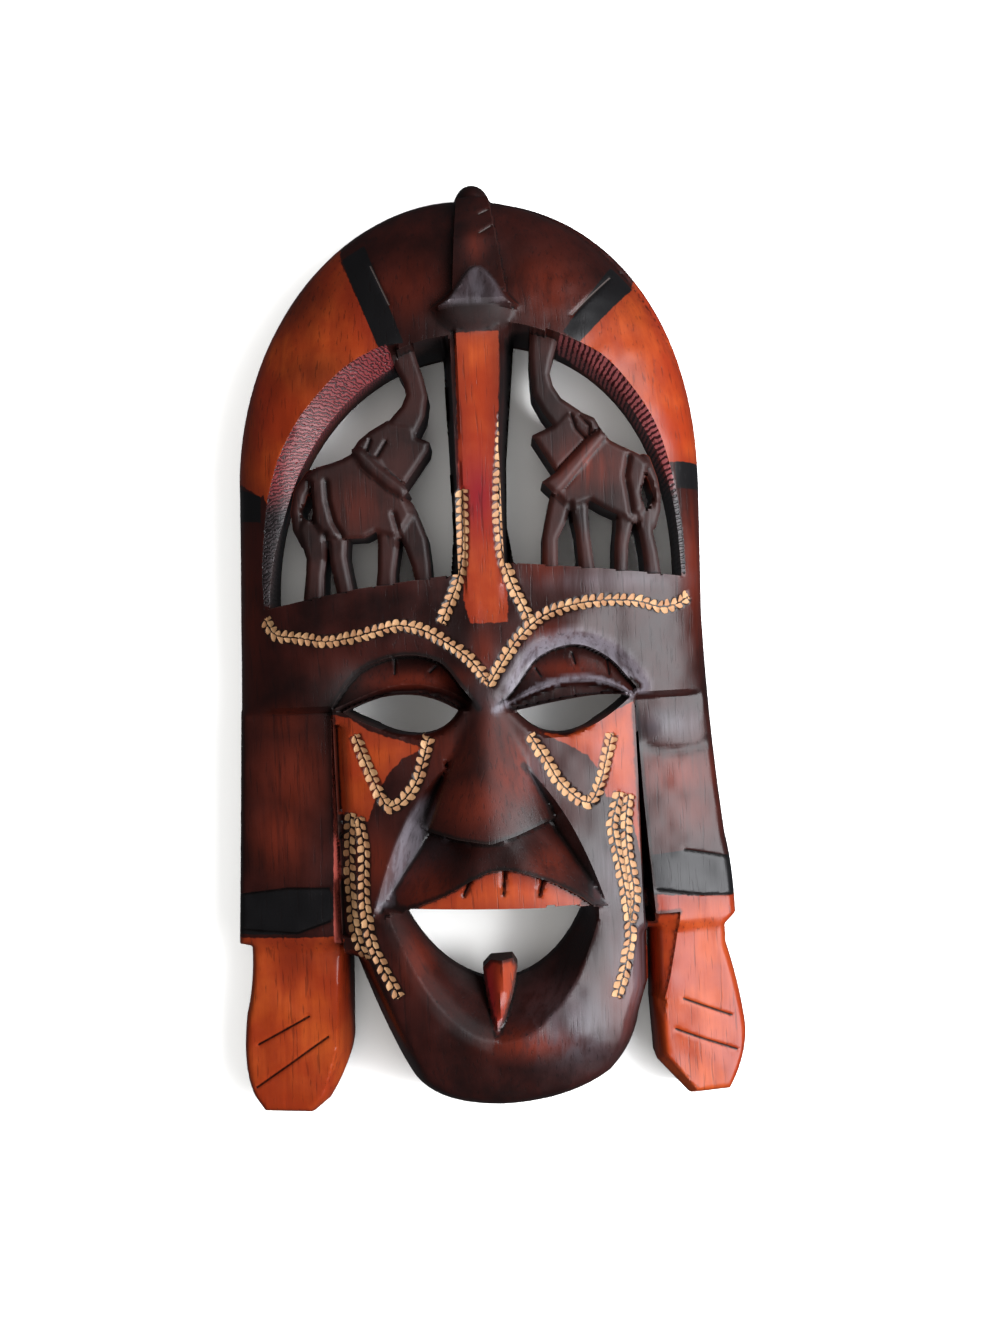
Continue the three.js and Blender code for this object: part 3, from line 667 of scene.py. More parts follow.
def cutCreases(points, front):
    z = points[:, 1]
    fade = smooth(*creaseCut["bottomRun"], z) * smooth(*creaseCut["topRun"], z)
    for name, line in creaseLines.items():
        far, along, side = alongLine(points, line)
        slope = mix(*creaseCut[name]["slopes"], smooth(*creaseCut["slopeRun"], z))
        cut = np.maximum(creaseCut["floor"], front - slope * far)
        near = (side * creaseCut[name]["turn"] > 0) & (far < creaseCut["reach"])
        near &= (z > creaseCut["bottom"]) & (z < creaseCut["top"])
        front = np.where(near, mix(front, cut, fade), front)
    return front


# The upper teeth stand back under the muzzle, with gaps that get narrower and shallower as they go down
def cutTeeth(points, front):
    x, z = points.T
    teeth = gum["relief"] - gum["round"] * ((x - gum["middle"]) / gum["half"]) ** 2
    for gap in gum["gaps"]:
        far, along = alongLine(points, gap)[:2]
        width = gum["gapWidth"] - gum["gapNarrows"] * along
        teeth -= gum["gapDepth"] * (1 - smooth(0, width, far)) * (1 - gum["gapFades"] * along)
    onGum = shapeDistance(points, np.vstack([gum["arc"], gum["corners"]])) < -onEdge
    return np.where(onGum, np.minimum(front, teeth), front)


def cutMouth(points, front):
    lower = (points[:, 1] < mouth["top"]) & (np.abs(points[:, 0] - 2) < mouth["half"])
    slope = np.full(len(points), 90.0)
    slope[lower] = mouthRelief(points[lower])
    return softMin(front, slope, mouth["blend"])


# A groove between each ear and the cheek. The left one is shallow, and the cheek is lowered beside it.
def cutEarGrooves(points, front):
    x, z = points.T
    for name, shape in earGrooves.items():
        inside = -shapeDistance(points, shape)
        wall = grooveCut["wallTop"] - grooveCut["wallSlope"] * inside
        floor = np.maximum(mix(*grooveCut["floor"], smooth(*grooveCut["floorRun"], z)), wall)
        if name == "left":
            edge = alongLine(points, shape[1:4])[0]
            reach = grooveCut["cheekReach"]
            cheek = ((inside < -onEdge) * (x > grooveCut["cheekStart"]) * (z < grooveCut["cheekTop"])
                     * (z > grooveCut["cheekBottom"]))
            front = front - grooveCut["cheekDrop"] * smooth(0, reach, reach - edge) * cheek
            bevel = grooveCut["bevelTop"] - grooveCut["bevelDrop"] * (1 - edge / (edge + inside + 0.3))
            floor = np.where(edge > 0.5, bevel, floor)
        front = np.where(inside > onEdge, np.minimum(front, floor), front)
    return front


def cutLobes(points, front):
    x, z = points.T
    edge = flatCut["edgeRelief"]
    for place in lobeFlats.values():
        onLobe = (shapeDistance(points, place["lobe"]) < 0.1) & (x * place["side"] < flatCut["reach"])
        for a, b, low, depth in place["flats"]:
            flat = planeRelief(((*a, edge), (*b, edge), (*low, depth)), x, z)
            near = onLobe & (z < max(a[1], b[1]) - 0.1)
            front = np.where(near, np.minimum(front, flat), front)
    hollow = shapeDistance(points, lobeHollow["shape"]) < -onEdge
    drop = lobeHollow["drop"] + lobeHollow["slope"] * alongLine(points, lobeHollow["edge"])[0]
    return np.where(hollow, front - drop, front)


# The crest ends in a lip, with a bell-shaped facet above it
def addCrest(points, front):
    x, z = points.T
    lip, bell = crest["lip"], crest["bell"]
    up = np.where(z > lip["middle"][1], lip["above"], lip["below"])
    out = ((x - lip["middle"][0]) / lip["across"]) ** 2 + ((z - lip["middle"][1]) / up) ** 2
    lipFront = np.where(out < 1.4, lip["relief"] - lip["fall"] * out ** 1.5, noWood)
    front = softMax(front, lipFront, crest["blend"])
    fall = bell["fall"] * np.maximum(0, shapeDistance(points, bell["shape"]) + bell["inset"])
    bellFront = np.where(z > bell["foot"], np.interp(z, *bell["relief"]) - fall, noWood)
    return softMax(front, bellFront, crest["blend"])


def frontRelief(points):
    x, z = points.T
    front = roundBlock(points)
    for cut in (cutWindows, cutEyes, cutCreases):
        front = cut(points, front)
    front = softMax(front, noseRelief(x, z), nose["blend"])
    front = softMax(front, muzzleRelief(x, z), muzzle["blend"])
    front = cutMouth(points, cutTeeth(points, front))
    front = np.maximum(front, tongueRelief(points))
    for cut in (cutEarGrooves, cutLobes, addCrest):
        front = cut(points, front)
    front = np.maximum(np.maximum(front, barRelief(x, z)), figureFront(points))
    front = front - grooveDepth(points, earFold["line"], earFold["depth"], earFold["width"])
    for line in incised + scratches:
        front -= grooveDepth(points, line, thinCut["depth"], thinCut["width"])
    onBar = shapeDistance(points, bar["back"]) < 1
    return np.where(front < 3, np.where(onBar, bar["edgeRelief"], figureRelief["edge"]), front)


def backRelief(points):
    x, z = points.T
    middle = block["hollowMiddle"]
    bowl = 1 - ((x - middle[0]) / block["hollowAcross"]) ** 2 - ((z - middle[1]) / block["hollowUp"]) ** 2
    back = block["hollowDepth"] * np.sqrt(np.maximum(0, bowl))
    post = shapeDistance(points, bar["back"])
    for window in windows.values():
        inside = shapeDistance(points, window["shape"]) < -onEdge
        back = np.where(inside, np.where(post < 0, bar["backRelief"], figureRelief["back"]), back)
    return back


# Where the mouth's slope comes out at the face
def mouthLip():
    edge = mouth["hole"][1:-1]
    grow = np.full(len(edge), 0.6)
    for step in range(8):
        at = np.stack([mouth["middle"] + (edge[:, 0] - mouth["middle"]) * (1 + mouth["wider"] * grow),
                       mouth["top"] + (edge[:, 1] - mouth["top"]) * (1 + mouth["lower"] * grow)], 1)
        grow = (baseRelief(*at.T) - mouth["innerRelief"]) / (mouth["outerRelief"] - mouth["innerRelief"])
    return at


# The lowest place beside each point of a crease's outer line
def creaseBottom(line, turn):
    step = np.gradient(line, axis=0)
    across = turn * np.stack([step[:, 1], -step[:, 0]], 1) / np.hypot(*step.T)[:, None]
    reach = np.arange(0, 16, 0.25)
    at = line[:, None] + reach[None, :, None] * across[:, None]
    relief = frontRelief(at.reshape(-1, 2)).reshape(len(line), -1)
    lowest = np.array([reach[np.nonzero(row < row.min() + 0.05)[0][-1]] for row in relief])
    lowest = np.convolve(np.pad(lowest, 1, "edge"), (0.25, 0.5, 0.25), "valid")
    return line + lowest[:, None] * across


creaseBottoms = {name: creaseBottom(line, -creaseCut[name]["turn"])[1:-1]
                 for name, line in creaseLines.items()}

# The front is a fine grid over the whole block, trimmed to the wood, with its lines snapped to the carving
fineGrid = {"cell": 1.6, "wide": 226, "tall": 412, "middle": (-0.5, 9, 0), "detailReach": 1.4,
            "rowReach": 4, "rimReach": 6, "snapReach": 0.52}
featureLines = [np.array(line, float) for line in (
    windows["left"]["arch"], windows["right"]["arch"], gum["arc"], *creaseLines.values(), nose["foot"],
    *(looped(shape) for shape in earGrooves.values()), looped(tongue["shape"]),
    *(eye["arch"] for eye in eyes), *(eye["lid"] for eye in eyes), bar["front"][:4], bar["front"][4:],
    *(flat[:2] for place in lobeFlats.values() for flat in place["flats"]),
    *(window["lip"] for window in windows.values()), *incised, crest["bell"]["shape"],
    # The edges of the crest, the foot of its bell, the top of the lobe's hollow, and the tops of the ears
    [(0.5, 204), (-1, 182), (-2.5, 158)], [(14, 204), (16.5, 182), (19.5, 158)],
    [(-8.5, 150.5), (21.5, 150.5)], [(69, -109.5), (83, -109.5)], [(68, -16.5), (106, -15)],
    [(-107, -16), (-66, -16)], *gum["gaps"], *scratches, lobeHollow["edge"],
    *(line for elephant in elephants.values()
      for line in elephant["creases"] + elephant["eyes"] + [looped(elephant["ear"])]),
    mouthLip(), *creaseBottoms.values())]


def coordinates(verts):
    return np.array([(v.co.x, v.co.y) for v in verts])


def nearRows(points):
    return np.abs(rowPlace(points)[1]) < fineGrid["rowReach"]


def nearDetail(points):
    reach = fineGrid["detailReach"]
    near = (np.abs(woodDistance(points)) < reach) | (figureDistance(points) < 1)
    near |= np.abs(rimRelief(points) - baseRelief(*points.T)) < fineGrid["rimReach"]
    return near | np.any([alongLine(points, line)[0] < reach for line in featureLines], axis=0)


# A grid over the block, finer near the rows and the detail, without the faces that lie off the wood
def layGrid():
    front = bmesh.new()
    wide, tall, cell = fineGrid["wide"], fineGrid["tall"], fineGrid["cell"]
    matrix = Matrix.Translation(fineGrid["middle"]) @ Matrix.Diagonal((wide / 2, tall / 2, 1, 1))
    bmesh.ops.create_grid(front, x_segments=round(wide / cell), y_segments=round(tall / cell), size=1,
                          matrix=matrix)
    far = woodDistance(coordinates(front.verts))
    bmesh.ops.delete(front, geom=[v for v, d in zip(front.verts[:], far) if d > 2 * cell], context="VERTS")
    for zone, cuts in ((nearRows, 2), (nearDetail, 1)):
        whole = [f for f in front.faces if f.calc_area() > 0.8 * cell ** 2]
        chosen = zone(np.array([f.calc_center_median()[:2] for f in whole]))
        edges = {e for f, near in zip(whole, chosen) if near for e in f.edges}
        bmesh.ops.subdivide_edges(front, edges=list(edges), cuts=cuts, use_grid_fill=True)
    middles = np.array([f.calc_center_median()[:2] for f in front.faces])
    outside = [f for f, d in zip(front.faces[:], woodDistance(middles)) if d > 0]
    bmesh.ops.delete(front, geom=outside, context="FACES")
    print("grid", len(front.verts), len(front.faces))
    return front


# Moves the grid's stepped border onto the outline of the wood, down the slope of the distance to it
def fitBorder(front):
    border = [v for v in front.verts if v.is_boundary]
    nudge, furthest = 0.05, 1.2
    for step in range(4):
        at = coordinates(border)
        slope = np.stack([woodDistance(at + (nudge, 0)) - woodDistance(at - (nudge, 0)),
                          woodDistance(at + (0, nudge)) - woodDistance(at - (0, nudge))], 1) / (2 * nudge)
        length = np.maximum(np.hypot(slope[:, 0], slope[:, 1]), 0.3)
        at -= slope / length[:, None] ** 2 * np.clip(woodDistance(at), -furthest, furthest)[:, None]
        for vert, spot in zip(border, at):
            vert.co.x, vert.co.y = spot
    ring = {o for v in border for e in v.link_edges for o in [e.other_vert(v)] if not o.is_boundary}
    bmesh.ops.smooth_vert(front, verts=list(ring), factor=0.5, use_axis_x=True, use_axis_y=True)


# Moves the nearest vertices onto each line of the carving, and joins them along it
def snapLines(front):
    free = set(v for v in front.verts if not v.is_boundary)
    for line in featureLines:
        steps = np.concatenate([[0], np.cumsum(np.hypot(*np.diff(line, axis=0).T))])
        near = list(free)
        far, along = alongLine(coordinates(near), line)[:2]
        reach = np.array([min(e.calc_length() for e in v.link_edges) for v in near]) * fineGrid["snapReach"]
        snapped = [v for v, close in zip(near, far < reach) if close]
        for vert, run in zip(snapped, along[far < reach]):
            vert.co.x = np.interp(run, steps, line[:, 0])
            vert.co.y = np.interp(run, steps, line[:, 1])
        if snapped:
            bmesh.ops.connect_verts(front, verts=snapped)
        free -= set(snapped)
    print("lines snapped", len(front.verts), len(front.faces))


# Rows of small chips cut on both sides of a thin groove: the groove's line, how far apart the chips are,
# and how much they narrow outwards
rows = [
    {"line": curved(line), "pitch": pitch, "taper": taper} for line, pitch, taper in (
        # along the brow
        ([(-90, 25), (-85, 18), (-74, 16), (-63.5, 14), (-52, 15), (-42, 17), (-31, 19), (-20, 16), (-9, 9),
          (-2, 3), (4, -5)], 3.1, 0.36),
        ([(4.5, -8), (17, 10), (27.9, 19.6), (41.2, 24.4), (56, 25.8), (69.8, 24.8), (79.2, 22.2),
          (86.7, 23.3), (92.5, 26.5)], 3.3, 0.36),
        # beside the bar
        ([(-2.4, 75), (-4.3, 43), (-13.4, 19)], 3.4, 0.3),
        ([(16.7, 106.5), (12.9, 70), (14, 43), (23, 19.5)], 3.4, 0.3),
        # under the eyes
        ([(-53, -26), (-46, -45), (-39, -57), (-28, -48), (-21, -28)], 3.5, 0.3),
        ([(21, -29), (27, -39), (34, -51), (44.5, -59), (50, -51), (53, -41), (56, -30.5)], 3.3, 0.36),
        # down the cheeks
        ([(-56.4, -59), (-57.8, -74), (-58.2, -89), (-57.8, -103), (-56, -112),
          (-52.7, -121.5)], 3.9, 0.06),
        ([(-53, -61), (-51.2, -74), (-51.9, -89), (-52, -97), (-51, -106), (-49, -116), (-44, -127),
          (-38.5, -137)], 3.9, 0.06),
        ([(58.4, -55.4), (54.7, -67.2), (54.9, -75), (57, -86.7), (59.1, -101.6), (60, -115.9),
          (58.3, -124.3), (56.6, -131.1), (52.8, -142)], 3.7, 0.14),
        ([(62.1, -56.8), (60.2, -70.3), (60.8, -83.4), (62.5, -98.9), (60.6, -110.5)], 3.7, 0.14),
    )]
barRows = (2, 3)
rowStep = 100  # the chips of each row are counted on from this many times its number
chip = {"gap": 0.25, "reach": 1.25, "half": 0.4, "lean": 0.13, "power": 3.4, "depth": 0.4, "groove": 0.55}


# For each point: how many chips along its nearest row it is, how far to the side of the groove it is,
# and the row's taper
def rowPlace(points):
    along, across, taper = np.zeros(len(points)), np.full(len(points), 9.0), np.zeros(len(points))
    for i, row in enumerate(rows):
        far, run, side = alongLine(points, row["line"])
        length = np.hypot(*np.diff(row["line"], axis=0).T).sum()
        far = far + 5 * ((run < 0.01) | (run > length - 0.01))
        nearer = far < np.abs(across)
        along = np.where(nearer, run / row["pitch"] + rowStep * i, along)
        across = np.where(nearer, far * np.where(side < 0, -1, 1), across)
        taper = np.where(nearer, row["taper"], taper)
    return along, across, taper


# How deep the rows are cut: a shallow groove, and a blunt leaning chip at each step on either side of it
def rowDepth(points):
    along, across, taper = rowPlace(points)
    along = along + 0.5 * (across > 0)
    outward = (np.abs(across) - chip["gap"]) / chip["reach"] - 1
    half = chip["half"] * (1 - taper * outward)
    sideways = (along - np.floor(along) - 0.5 - chip["lean"] * (outward + 1)) / half
    shape = 1 - outward ** 4 - np.abs(sideways) ** chip["power"]
    groove = 1 - smooth(0, chip["gap"] + 2 * chip["reach"], np.abs(across))
    return chip["groove"] * groove + chip["depth"] * smooth(0, 0.6, shape)


front = layGrid()
fitBorder(front)
snapLines(front)
extruded = bmesh.ops.extrude_face_region(front, geom=front.faces[:], use_keep_orig=True)
raised = {v for v in extruded["geom"] if isinstance(v, bmesh.types.BMVert)}
lowered = [v for v in front.verts if v not in raised]
raised = list(raised)
at = coordinates(raised)
reliefs = frontRelief(at) - rowDepth(at)
for vert, (x, z), relief in zip(raised, leanIn(at), reliefs):
    vert.co = (x, -relief, z)
at = coordinates(lowered)
for vert, (x, z), relief in zip(lowered, at, backRelief(at)):
    vert.co = (x, -relief, z)
bmesh.ops.recalc_face_normals(front, faces=front.faces[:])
print("relief set")

# The plain back needs far fewer faces than the carving
thinning = 1.6  # faces taken away for each vertex of the back
front.verts.index_update()
backIndices = [vert.index for vert in lowered]
carving = bpy.data.meshes.new("mask")
front.to_mesh(carving)
front.free()
mask = bpy.data.objects.new("mask_visual", carving)
bpy.context.scene.collection.objects.link(mask)
mask.vertex_groups.new(name="back").add(backIndices, 1.0, "REPLACE")
thin = mask.modifiers.new("thin the back", "DECIMATE")
thin.vertex_group = "back"
carving.calc_loop_triangles()
total = len(carving.loop_triangles)
thin.ratio = (total - thinning * len(backIndices)) / total
evaluated = mask.evaluated_get(bpy.context.evaluated_depsgraph_get())
mask.data = bpy.data.meshes.new_from_object(evaluated)
mask.modifiers.clear()
mask.vertex_groups.clear()
mask.data.calc_loop_triangles()
print("triangles", total, "then", len(mask.data.loop_triangles))

# Where each colour lies, kept as distances in millimetres so that the edges stay crisp
orangeShapes = [
    # the two sides of the dome, and the bar
    [(-50, 176), (-35, 137.5), (-33, 130), (-80, 60), (-88, 78), (-89, 77), (-99, 84.5), (-120, 84.5),
     (-120, 200), (-55, 215)],
    [(80, 176), (75, 162), (50, 136.5), (45, 128), (80, 70), (86, 84), (89, 84), (99.5, 84), (120, 84),
     (120, 215), (85, 200)],
    [(-2.5, 140.3), (-3.4, 75), (-4, 40), (-3.6, 27), (-1.5, 18.5), (14, 18.5), (14.6, 29), (12, 74),
     (15.8, 127), (16, 140.3)],
    # under the eyes
    [(-63.5, -17), (-55, -19), (-46, -25), (-27, -31.5), (-24, -33), (-33, -37), (-39, -43), (-45, -53),
     (-49, -63), (-55, -61), (-62, -60)],
    [(66.5, -17), (60, -20), (48, -26), (37, -30.5), (25, -28.5), (36, -33.5), (45, -39), (50, -46),
     (52, -57), (62, -60), (65.5, -80), (67, -92), (67.5, -60)],
    # the lobes, teeth and tongue
    [(-120, -113), (-62, -113), (-60, -200), (-120, -200)],
    [(69, -101), (88, -103), (120, -104.5), (120, -200), (66, -200)],
    [*gum["arc"][2:], (44, -103.5), (-30, -102)], tongue["shape"],
]
bandShapes = [
    [(-50, 178), (-40, 184), (-24, 137.5), (-35, 136.5)],
    [(66.5, 171.5), (76, 162), (50, 135), (43, 139.5)],
    [(-104, 84.5), (-89, 77.5), (-89.5, 66.5), (-104, 69)],
    [(88.5, 84.5), (104, 84.5), (104, 73), (89.5, 73)],
    [(-115, -94.5), (-86, -91.8), (-68, -92), (-65.8, -96), (-65.8, -104), (-70, -107), (-83, -111.5),
     (-115, -111.5)],
    [(71, -84), (86, -83), (110, -87.5), (110, -104.5), (90, -103), (73, -100)],
]
# Soft patches: middle, reach across and up, strength. Most belong to the stain and the wax; the sheen
# patches are painted light, and the darker orange is partly painted shade.
patches = {
    # reddish, where the stain has worn thin
    "glow": [
        ((-70, 150), (14, 20), 0.3), ((-22, 160), (16, 14), 0.35), ((38, 158), (14, 16), 0.6),
        ((8, 178), (3.5, 7), 0.5), ((-48, 70), (12, 12), 0.4), ((52, 84), (12, 10), 0.8),
        ((-100, 30), (7, 40), 0.4), ((96, 40), (8, 30), 0.6), ((-82, -44), (16, 18), 0.7),
        ((-88, -68), (12, 16), 0.8), ((84, -50), (16, 10), 0.9), ((88, -66), (14, 12), 0.5),
        ((0, -56), (16, 10), 0.7), ((14, -44), (10, 14), 0.9), ((7, -30), (8, 16), 0.45),
        ((-14, -34), (12, 12), 0.4), ((-46, -80), (8, 12), 0.6), ((-26, -92), (12, 9), 0.7),
        ((26, -84), (10, 8), 0.5), ((-31, -122), (8, 11), 0.6), ((16, -158), (16, 6), 0.9),
        ((56, -140), (10, 16), 0.5), ((-60, 5), (18, 8), 0.15), ((30, 12), (12, 6), 0.5),
        ((-84, -20), (12, 8), 0.4), ((-28, -4), (22, 4), 0.6), ((40, -2), (16, 4), 0.6),
        ((30, 40), (10, 8), 0.5), ((4, 6), (5, 10), 0.6), ((96, 90), (6, 20), 0.15)],
    "deepRed": [((4.5, 72), (9, 20), 1.0), ((-1.5, -140), (4.6, 22), 0.95), ((88, 150), (8, 30), 0.3),
                ((-92, 130), (8, 34), 0.4)],
    # where the orange is darker: partly a darker stain, partly painted shade on the sides turned from the
    # lamps, most of all the left of the dome
    "darkerStainAndShade": [((-68, 163), (20, 18), 0.75), ((-62, 128), (18, 10), 0.55), ((-95, 110), (6, 30), 0.45),
              ((76, 150), (10, 12), 0.25), ((72, 122), (8, 10), 0.3), ((-84, -122), (12, 8), 0.35),
              ((16, 120), (3, 30), 0.3)],
    # bluish grey painted sheen: painted reflections of the lamps on the wax
    "paintedSheen": [((36, -152), (16, 14), 0.35), ((60, -128), (8, 22), 0.35), ((52, -92), (6, 16), 0.25),
              ((60, 34), (26, 4), 0.25), ((84, -28), (12, 6), 0.4), ((104, -60), (4, 40), 0.35),
              ((4, -13), (4, 5), 0.15), ((24, -44), (6, 9), 0.2)],
    # where the wax is lost
    "dull": [((9, -36), (13, 30), 1.0), ((5.6, 147), (18, 8), 1.0), ((-56, -6), (16, 12), 1.0),
             ((8, 182), (10, 22), 0.5)],
}
# Painted sheen and painted shade beside a line: the line, how far it reaches, and its strength. Painted
# shade also lies in the creases.
paintedSheenLines = [(eyes[1]["arch"][9:], 9, 0.85), (eyes[1]["lid"], 2.4, 0.8), ([(14, -9), (8, -17)], 4, 0.4)]
shadeLines = [(eyes[0]["arch"], 2.5, 0.5), ([(-62, -13), (-54, -3)], 8, 0.6), (earFold["line"], 3.6, 0.65),
              (np.array(nose["foot"]) - (0, 1.2), 2.2, 0.8), *((gap, 1.8, 1.0) for gap in gum["gaps"])]
# Painted shade lies along these creases and seams
creaseShadeLines = [
    nose["foot"], *creaseBottoms.values(), *(eye["arch"] for eye in eyes), gum["arc"],
    looped(earGrooves["right"]), earGrooves["left"][1:4], looped(tongue["shape"]),
    [(-45.9, -98), (-34, -99.6)], [(48.5, -101), (40, -101)], [(69.5, -109.5), (82.5, -109.5)],
]
creaseFacet = np.vstack([creaseLines["left"][2:], creaseBottoms["left"][::-1][:-1]])
# The strokes on each strip: millimetres from one to the next, and how much they slant across it
hatchPitch = {"left": 1.9, "right": 2.4, "leftAcross": 2.4, "rightAcross": 0.3}
# How high the surface has to stand to take each colour, the painted sheen among them
standing = {"strip": 10, "barRow": 42, "paintedSheenLine": 37.5, "paintedSheen": 26, "figure": 11, "lip": 42}


def patchStrength(points, spots):
    return np.max([strength * np.exp(-(((points - middle) / reach) ** 2).sum(axis=1))
                   for middle, reach, strength in spots], axis=0)


# Strongest at a line, and fading out to a given reach
def besideLines(points, lines):
    return np.max([strength * (1 - smooth(0.3 * reach, reach, alongLine(points, line)[0]))
                   for line, reach, strength in lines], axis=0)


def nearestLine(points, lines):
    return np.min([alongLine(points, line)[0] for line in lines], axis=0)


# How deep each point lies inside any of the shapes
def insideAny(points, shapes):
    return np.max([-shapeDistance(points, shape) for shape in shapes], axis=0)


def giveAttribute(name, values):
    layer = mask.data.attributes.new(name, "FLOAT", "POINT")
    layer.data.foreach_set("value", np.ascontiguousarray(values, np.float32))


def readVectors(name):
    values = np.empty(len(mask.data.vertices) * 3)
    mask.data.vertices.foreach_get(name, values)
    return values.reshape(-1, 3)


places, normals = readVectors("co"), readVectors("normal")
flat, relief = places[:, [0, 2]], -places[:, 1]
onLeft = flat[:, 0] < 0

# The dome's strips, and the places along and across them for their hatching
figures = figureDistance(flat)
strip = np.minimum(insideAny(flat, [window["painted"] for window in windows.values()]), figures - 0.2)
lips = {name: alongLine(flat, window["lip"])[:2] for name, window in windows.items()}
giveAttribute("band", np.clip(insideAny(flat, bandShapes), -3, 3))
giveAttribute("strip", np.clip(np.where(relief > standing["strip"], strip, -1), -3, 3))
giveAttribute("stripAlong", np.where(onLeft, lips["left"][1] / hatchPitch["left"],
                                     -lips["right"][1] / hatchPitch["right"]))
giveAttribute("stripAcross", np.where(onLeft, hatchPitch["leftAcross"] * lips["left"][0],
                                      hatchPitch["rightAcross"] * lips["right"][0]))

rowAlong, rowAcross, rowTaper = rowPlace(flat)
onBar = (rowAlong > rowStep * barRows[0]) & (rowAlong < rowStep * (barRows[1] + 1))
offBar = onBar & (relief < standing["barRow"])
giveAttribute("rowAlong", rowAlong)
giveAttribute("rowSide", np.clip(rowAcross, -1, 1))
giveAttribute("rowOut", np.where(offBar, 9, np.minimum(np.abs(rowAcross), 9)))
giveAttribute("rowTaper", rowTaper)
giveAttribute("back", (normals[:, 1] > 0.2) & (relief < backRelief(flat) + 3))

orangeInside = insideAny(flat, orangeShapes)
giveAttribute("orange", np.clip(orangeInside, -12, 12))
giveAttribute("glow", patchStrength(flat, patches["glow"]))
# The deep red is stain; the darker orange is partly stain and partly painted shade
for name in ("deepRed", "darkerStainAndShade"):
    giveAttribute(name, patchStrength(flat, patches[name]) * (orangeInside > 0))

# Painted sheen: bluish grey painted reflections beside lines, in patches, on the crease's lit facet and,
# fainter, on the crest's bell
paintedSheen = besideLines(flat, paintedSheenLines) * (relief > standing["paintedSheenLine"])
paintedSheen = np.maximum(paintedSheen, patchStrength(flat, patches["paintedSheen"]) * (relief > standing["paintedSheen"]))
onFacet = smooth(1.0, -1.5, shapeDistance(flat, creaseFacet)) * smooth(-50, -62, flat[:, 1])
onBell = smooth(-0.6, 1.2, insideAny(flat, [crest["bell"]["shape"]]))
giveAttribute("paintedSheen", np.maximum(np.maximum(paintedSheen, 0.7 * onFacet), 0.3 * onBell))
lipDull = besideLines(flat, [(mouthLip(), 6, 1.0)]) * onLeft
giveAttribute("dull", np.maximum(patchStrength(flat, patches["dull"]), lipDull))
giveAttribute("shade", besideLines(flat, shadeLines))

for name, lines, furthest in (("crease", creaseShadeLines, 4), ("incised", incised, 3), ("scratch", scratches, 3)):
    giveAttribute(name, np.clip(nearestLine(flat, lines), 0, furthest))
# The wall of the left ear's groove: its orange-red made brighter, as painted light where it would catch the
# lamps
giveAttribute("litRedEarEdge", np.clip(shapeDistance(flat, earGrooves["left"]), -2, 2))
offWindows = np.min([shapeDistance(flat, window["shape"]) for window in windows.values()], axis=0)
figures = np.maximum(figures, offWindows - 0.2)
giveAttribute("figure", np.clip(-figures, -3, 3) * (relief > standing["figure"]))
# Painted shade: darker in the hollows cut deep below the block, and under the crest's lip
lip = crest["lip"]
offLip = np.hypot((flat[:, 0] - lip["middle"][0]) / lip["across"],
                  (flat[:, 1] - lip["shadeUp"]) / lip["shadeReach"]) - 1
paintedLipShade = smooth(0.15, -0.3, offLip) * (relief > standing["lip"]) * (flat[:, 1] < lip["shadeTop"])
paintedHollowShade = np.clip((baseRelief(*flat.T) - relief - 13) / 10, 0, 1)
giveAttribute("paintedHollowShade", np.maximum(paintedHollowShade, 0.6 * paintedLipShade))

# How sharply the surface turns at each vertex: above zero on ridges, below it in creases
ends = np.empty(len(mask.data.edges) * 2, int)
mask.data.edges.foreach_get("vertices", ends)
ends = ends.reshape(-1, 2)
step = places[ends[:, 1]] - places[ends[:, 0]]
length = np.linalg.norm(step, axis=1) + tiny
turn, count = np.zeros(len(places)), np.zeros(len(places)) + tiny
for here, sign in ((ends[:, 0], -1), (ends[:, 1], 1)):
    np.add.at(turn, here, sign * (step * normals[here]).sum(axis=1) / length)
    np.add.at(count, here, 1)
giveAttribute("turn", np.clip(turn / count * 2, -1, 1))

metres = Matrix.Scale(0.001, 4) @ Matrix.Translation((-crestBack["across"], 0, -crestBack["up"]))
mask.data.transform(metres)
mask.data.set_sharp_from_angle(angle=radians(40))
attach(mask, "root")
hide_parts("mask")
print("colours placed")


# Small helpers for wiring shader nodes
def addNode(tree, kind, values=None, **settings):
    made = tree.nodes.new("ShaderNode" + kind)
    for name, value in settings.items():
        setattr(made, name, value)
    for key, value in (values or {}).items():
        if isinstance(value, bpy.types.NodeSocket):
            tree.links.new(value, made.inputs[key])
        else:
            made.inputs[key].default_value = value
    return made


def arithmetic(tree, operation, *values):
    return addNode(tree, "Math", dict(enumerate(values)), operation=operation).outputs[0]


def spread(tree, value, low, high):
    return addNode(tree, "MapRange", {"Value": value, "To Min": low, "To Max": high}).outputs[0]


def ramp(tree, value, low, high, fromLow=0.0, toHigh=1.0):
    values = {"Value": value, "From Min": low, "From Max": high, "To Min": fromLow, "To Max": toHigh}
    return addNode(tree, "MapRange", values, interpolation_type="SMOOTHSTEP").outputs[0]


def effect(name, inputs, outputs, kind="Float"):
    tree = bpy.data.node_groups.new(name, "ShaderNodeTree")
    for title in inputs:
        tree.interface.new_socket(title, in_out="INPUT", socket_type="NodeSocket" + kind)
    for title in outputs:
        tree.interface.new_socket(title, in_out="OUTPUT", socket_type="NodeSocketFloat")
    return tree, tree.nodes.new("NodeGroupInput").outputs, tree.nodes.new("NodeGroupOutput").inputs


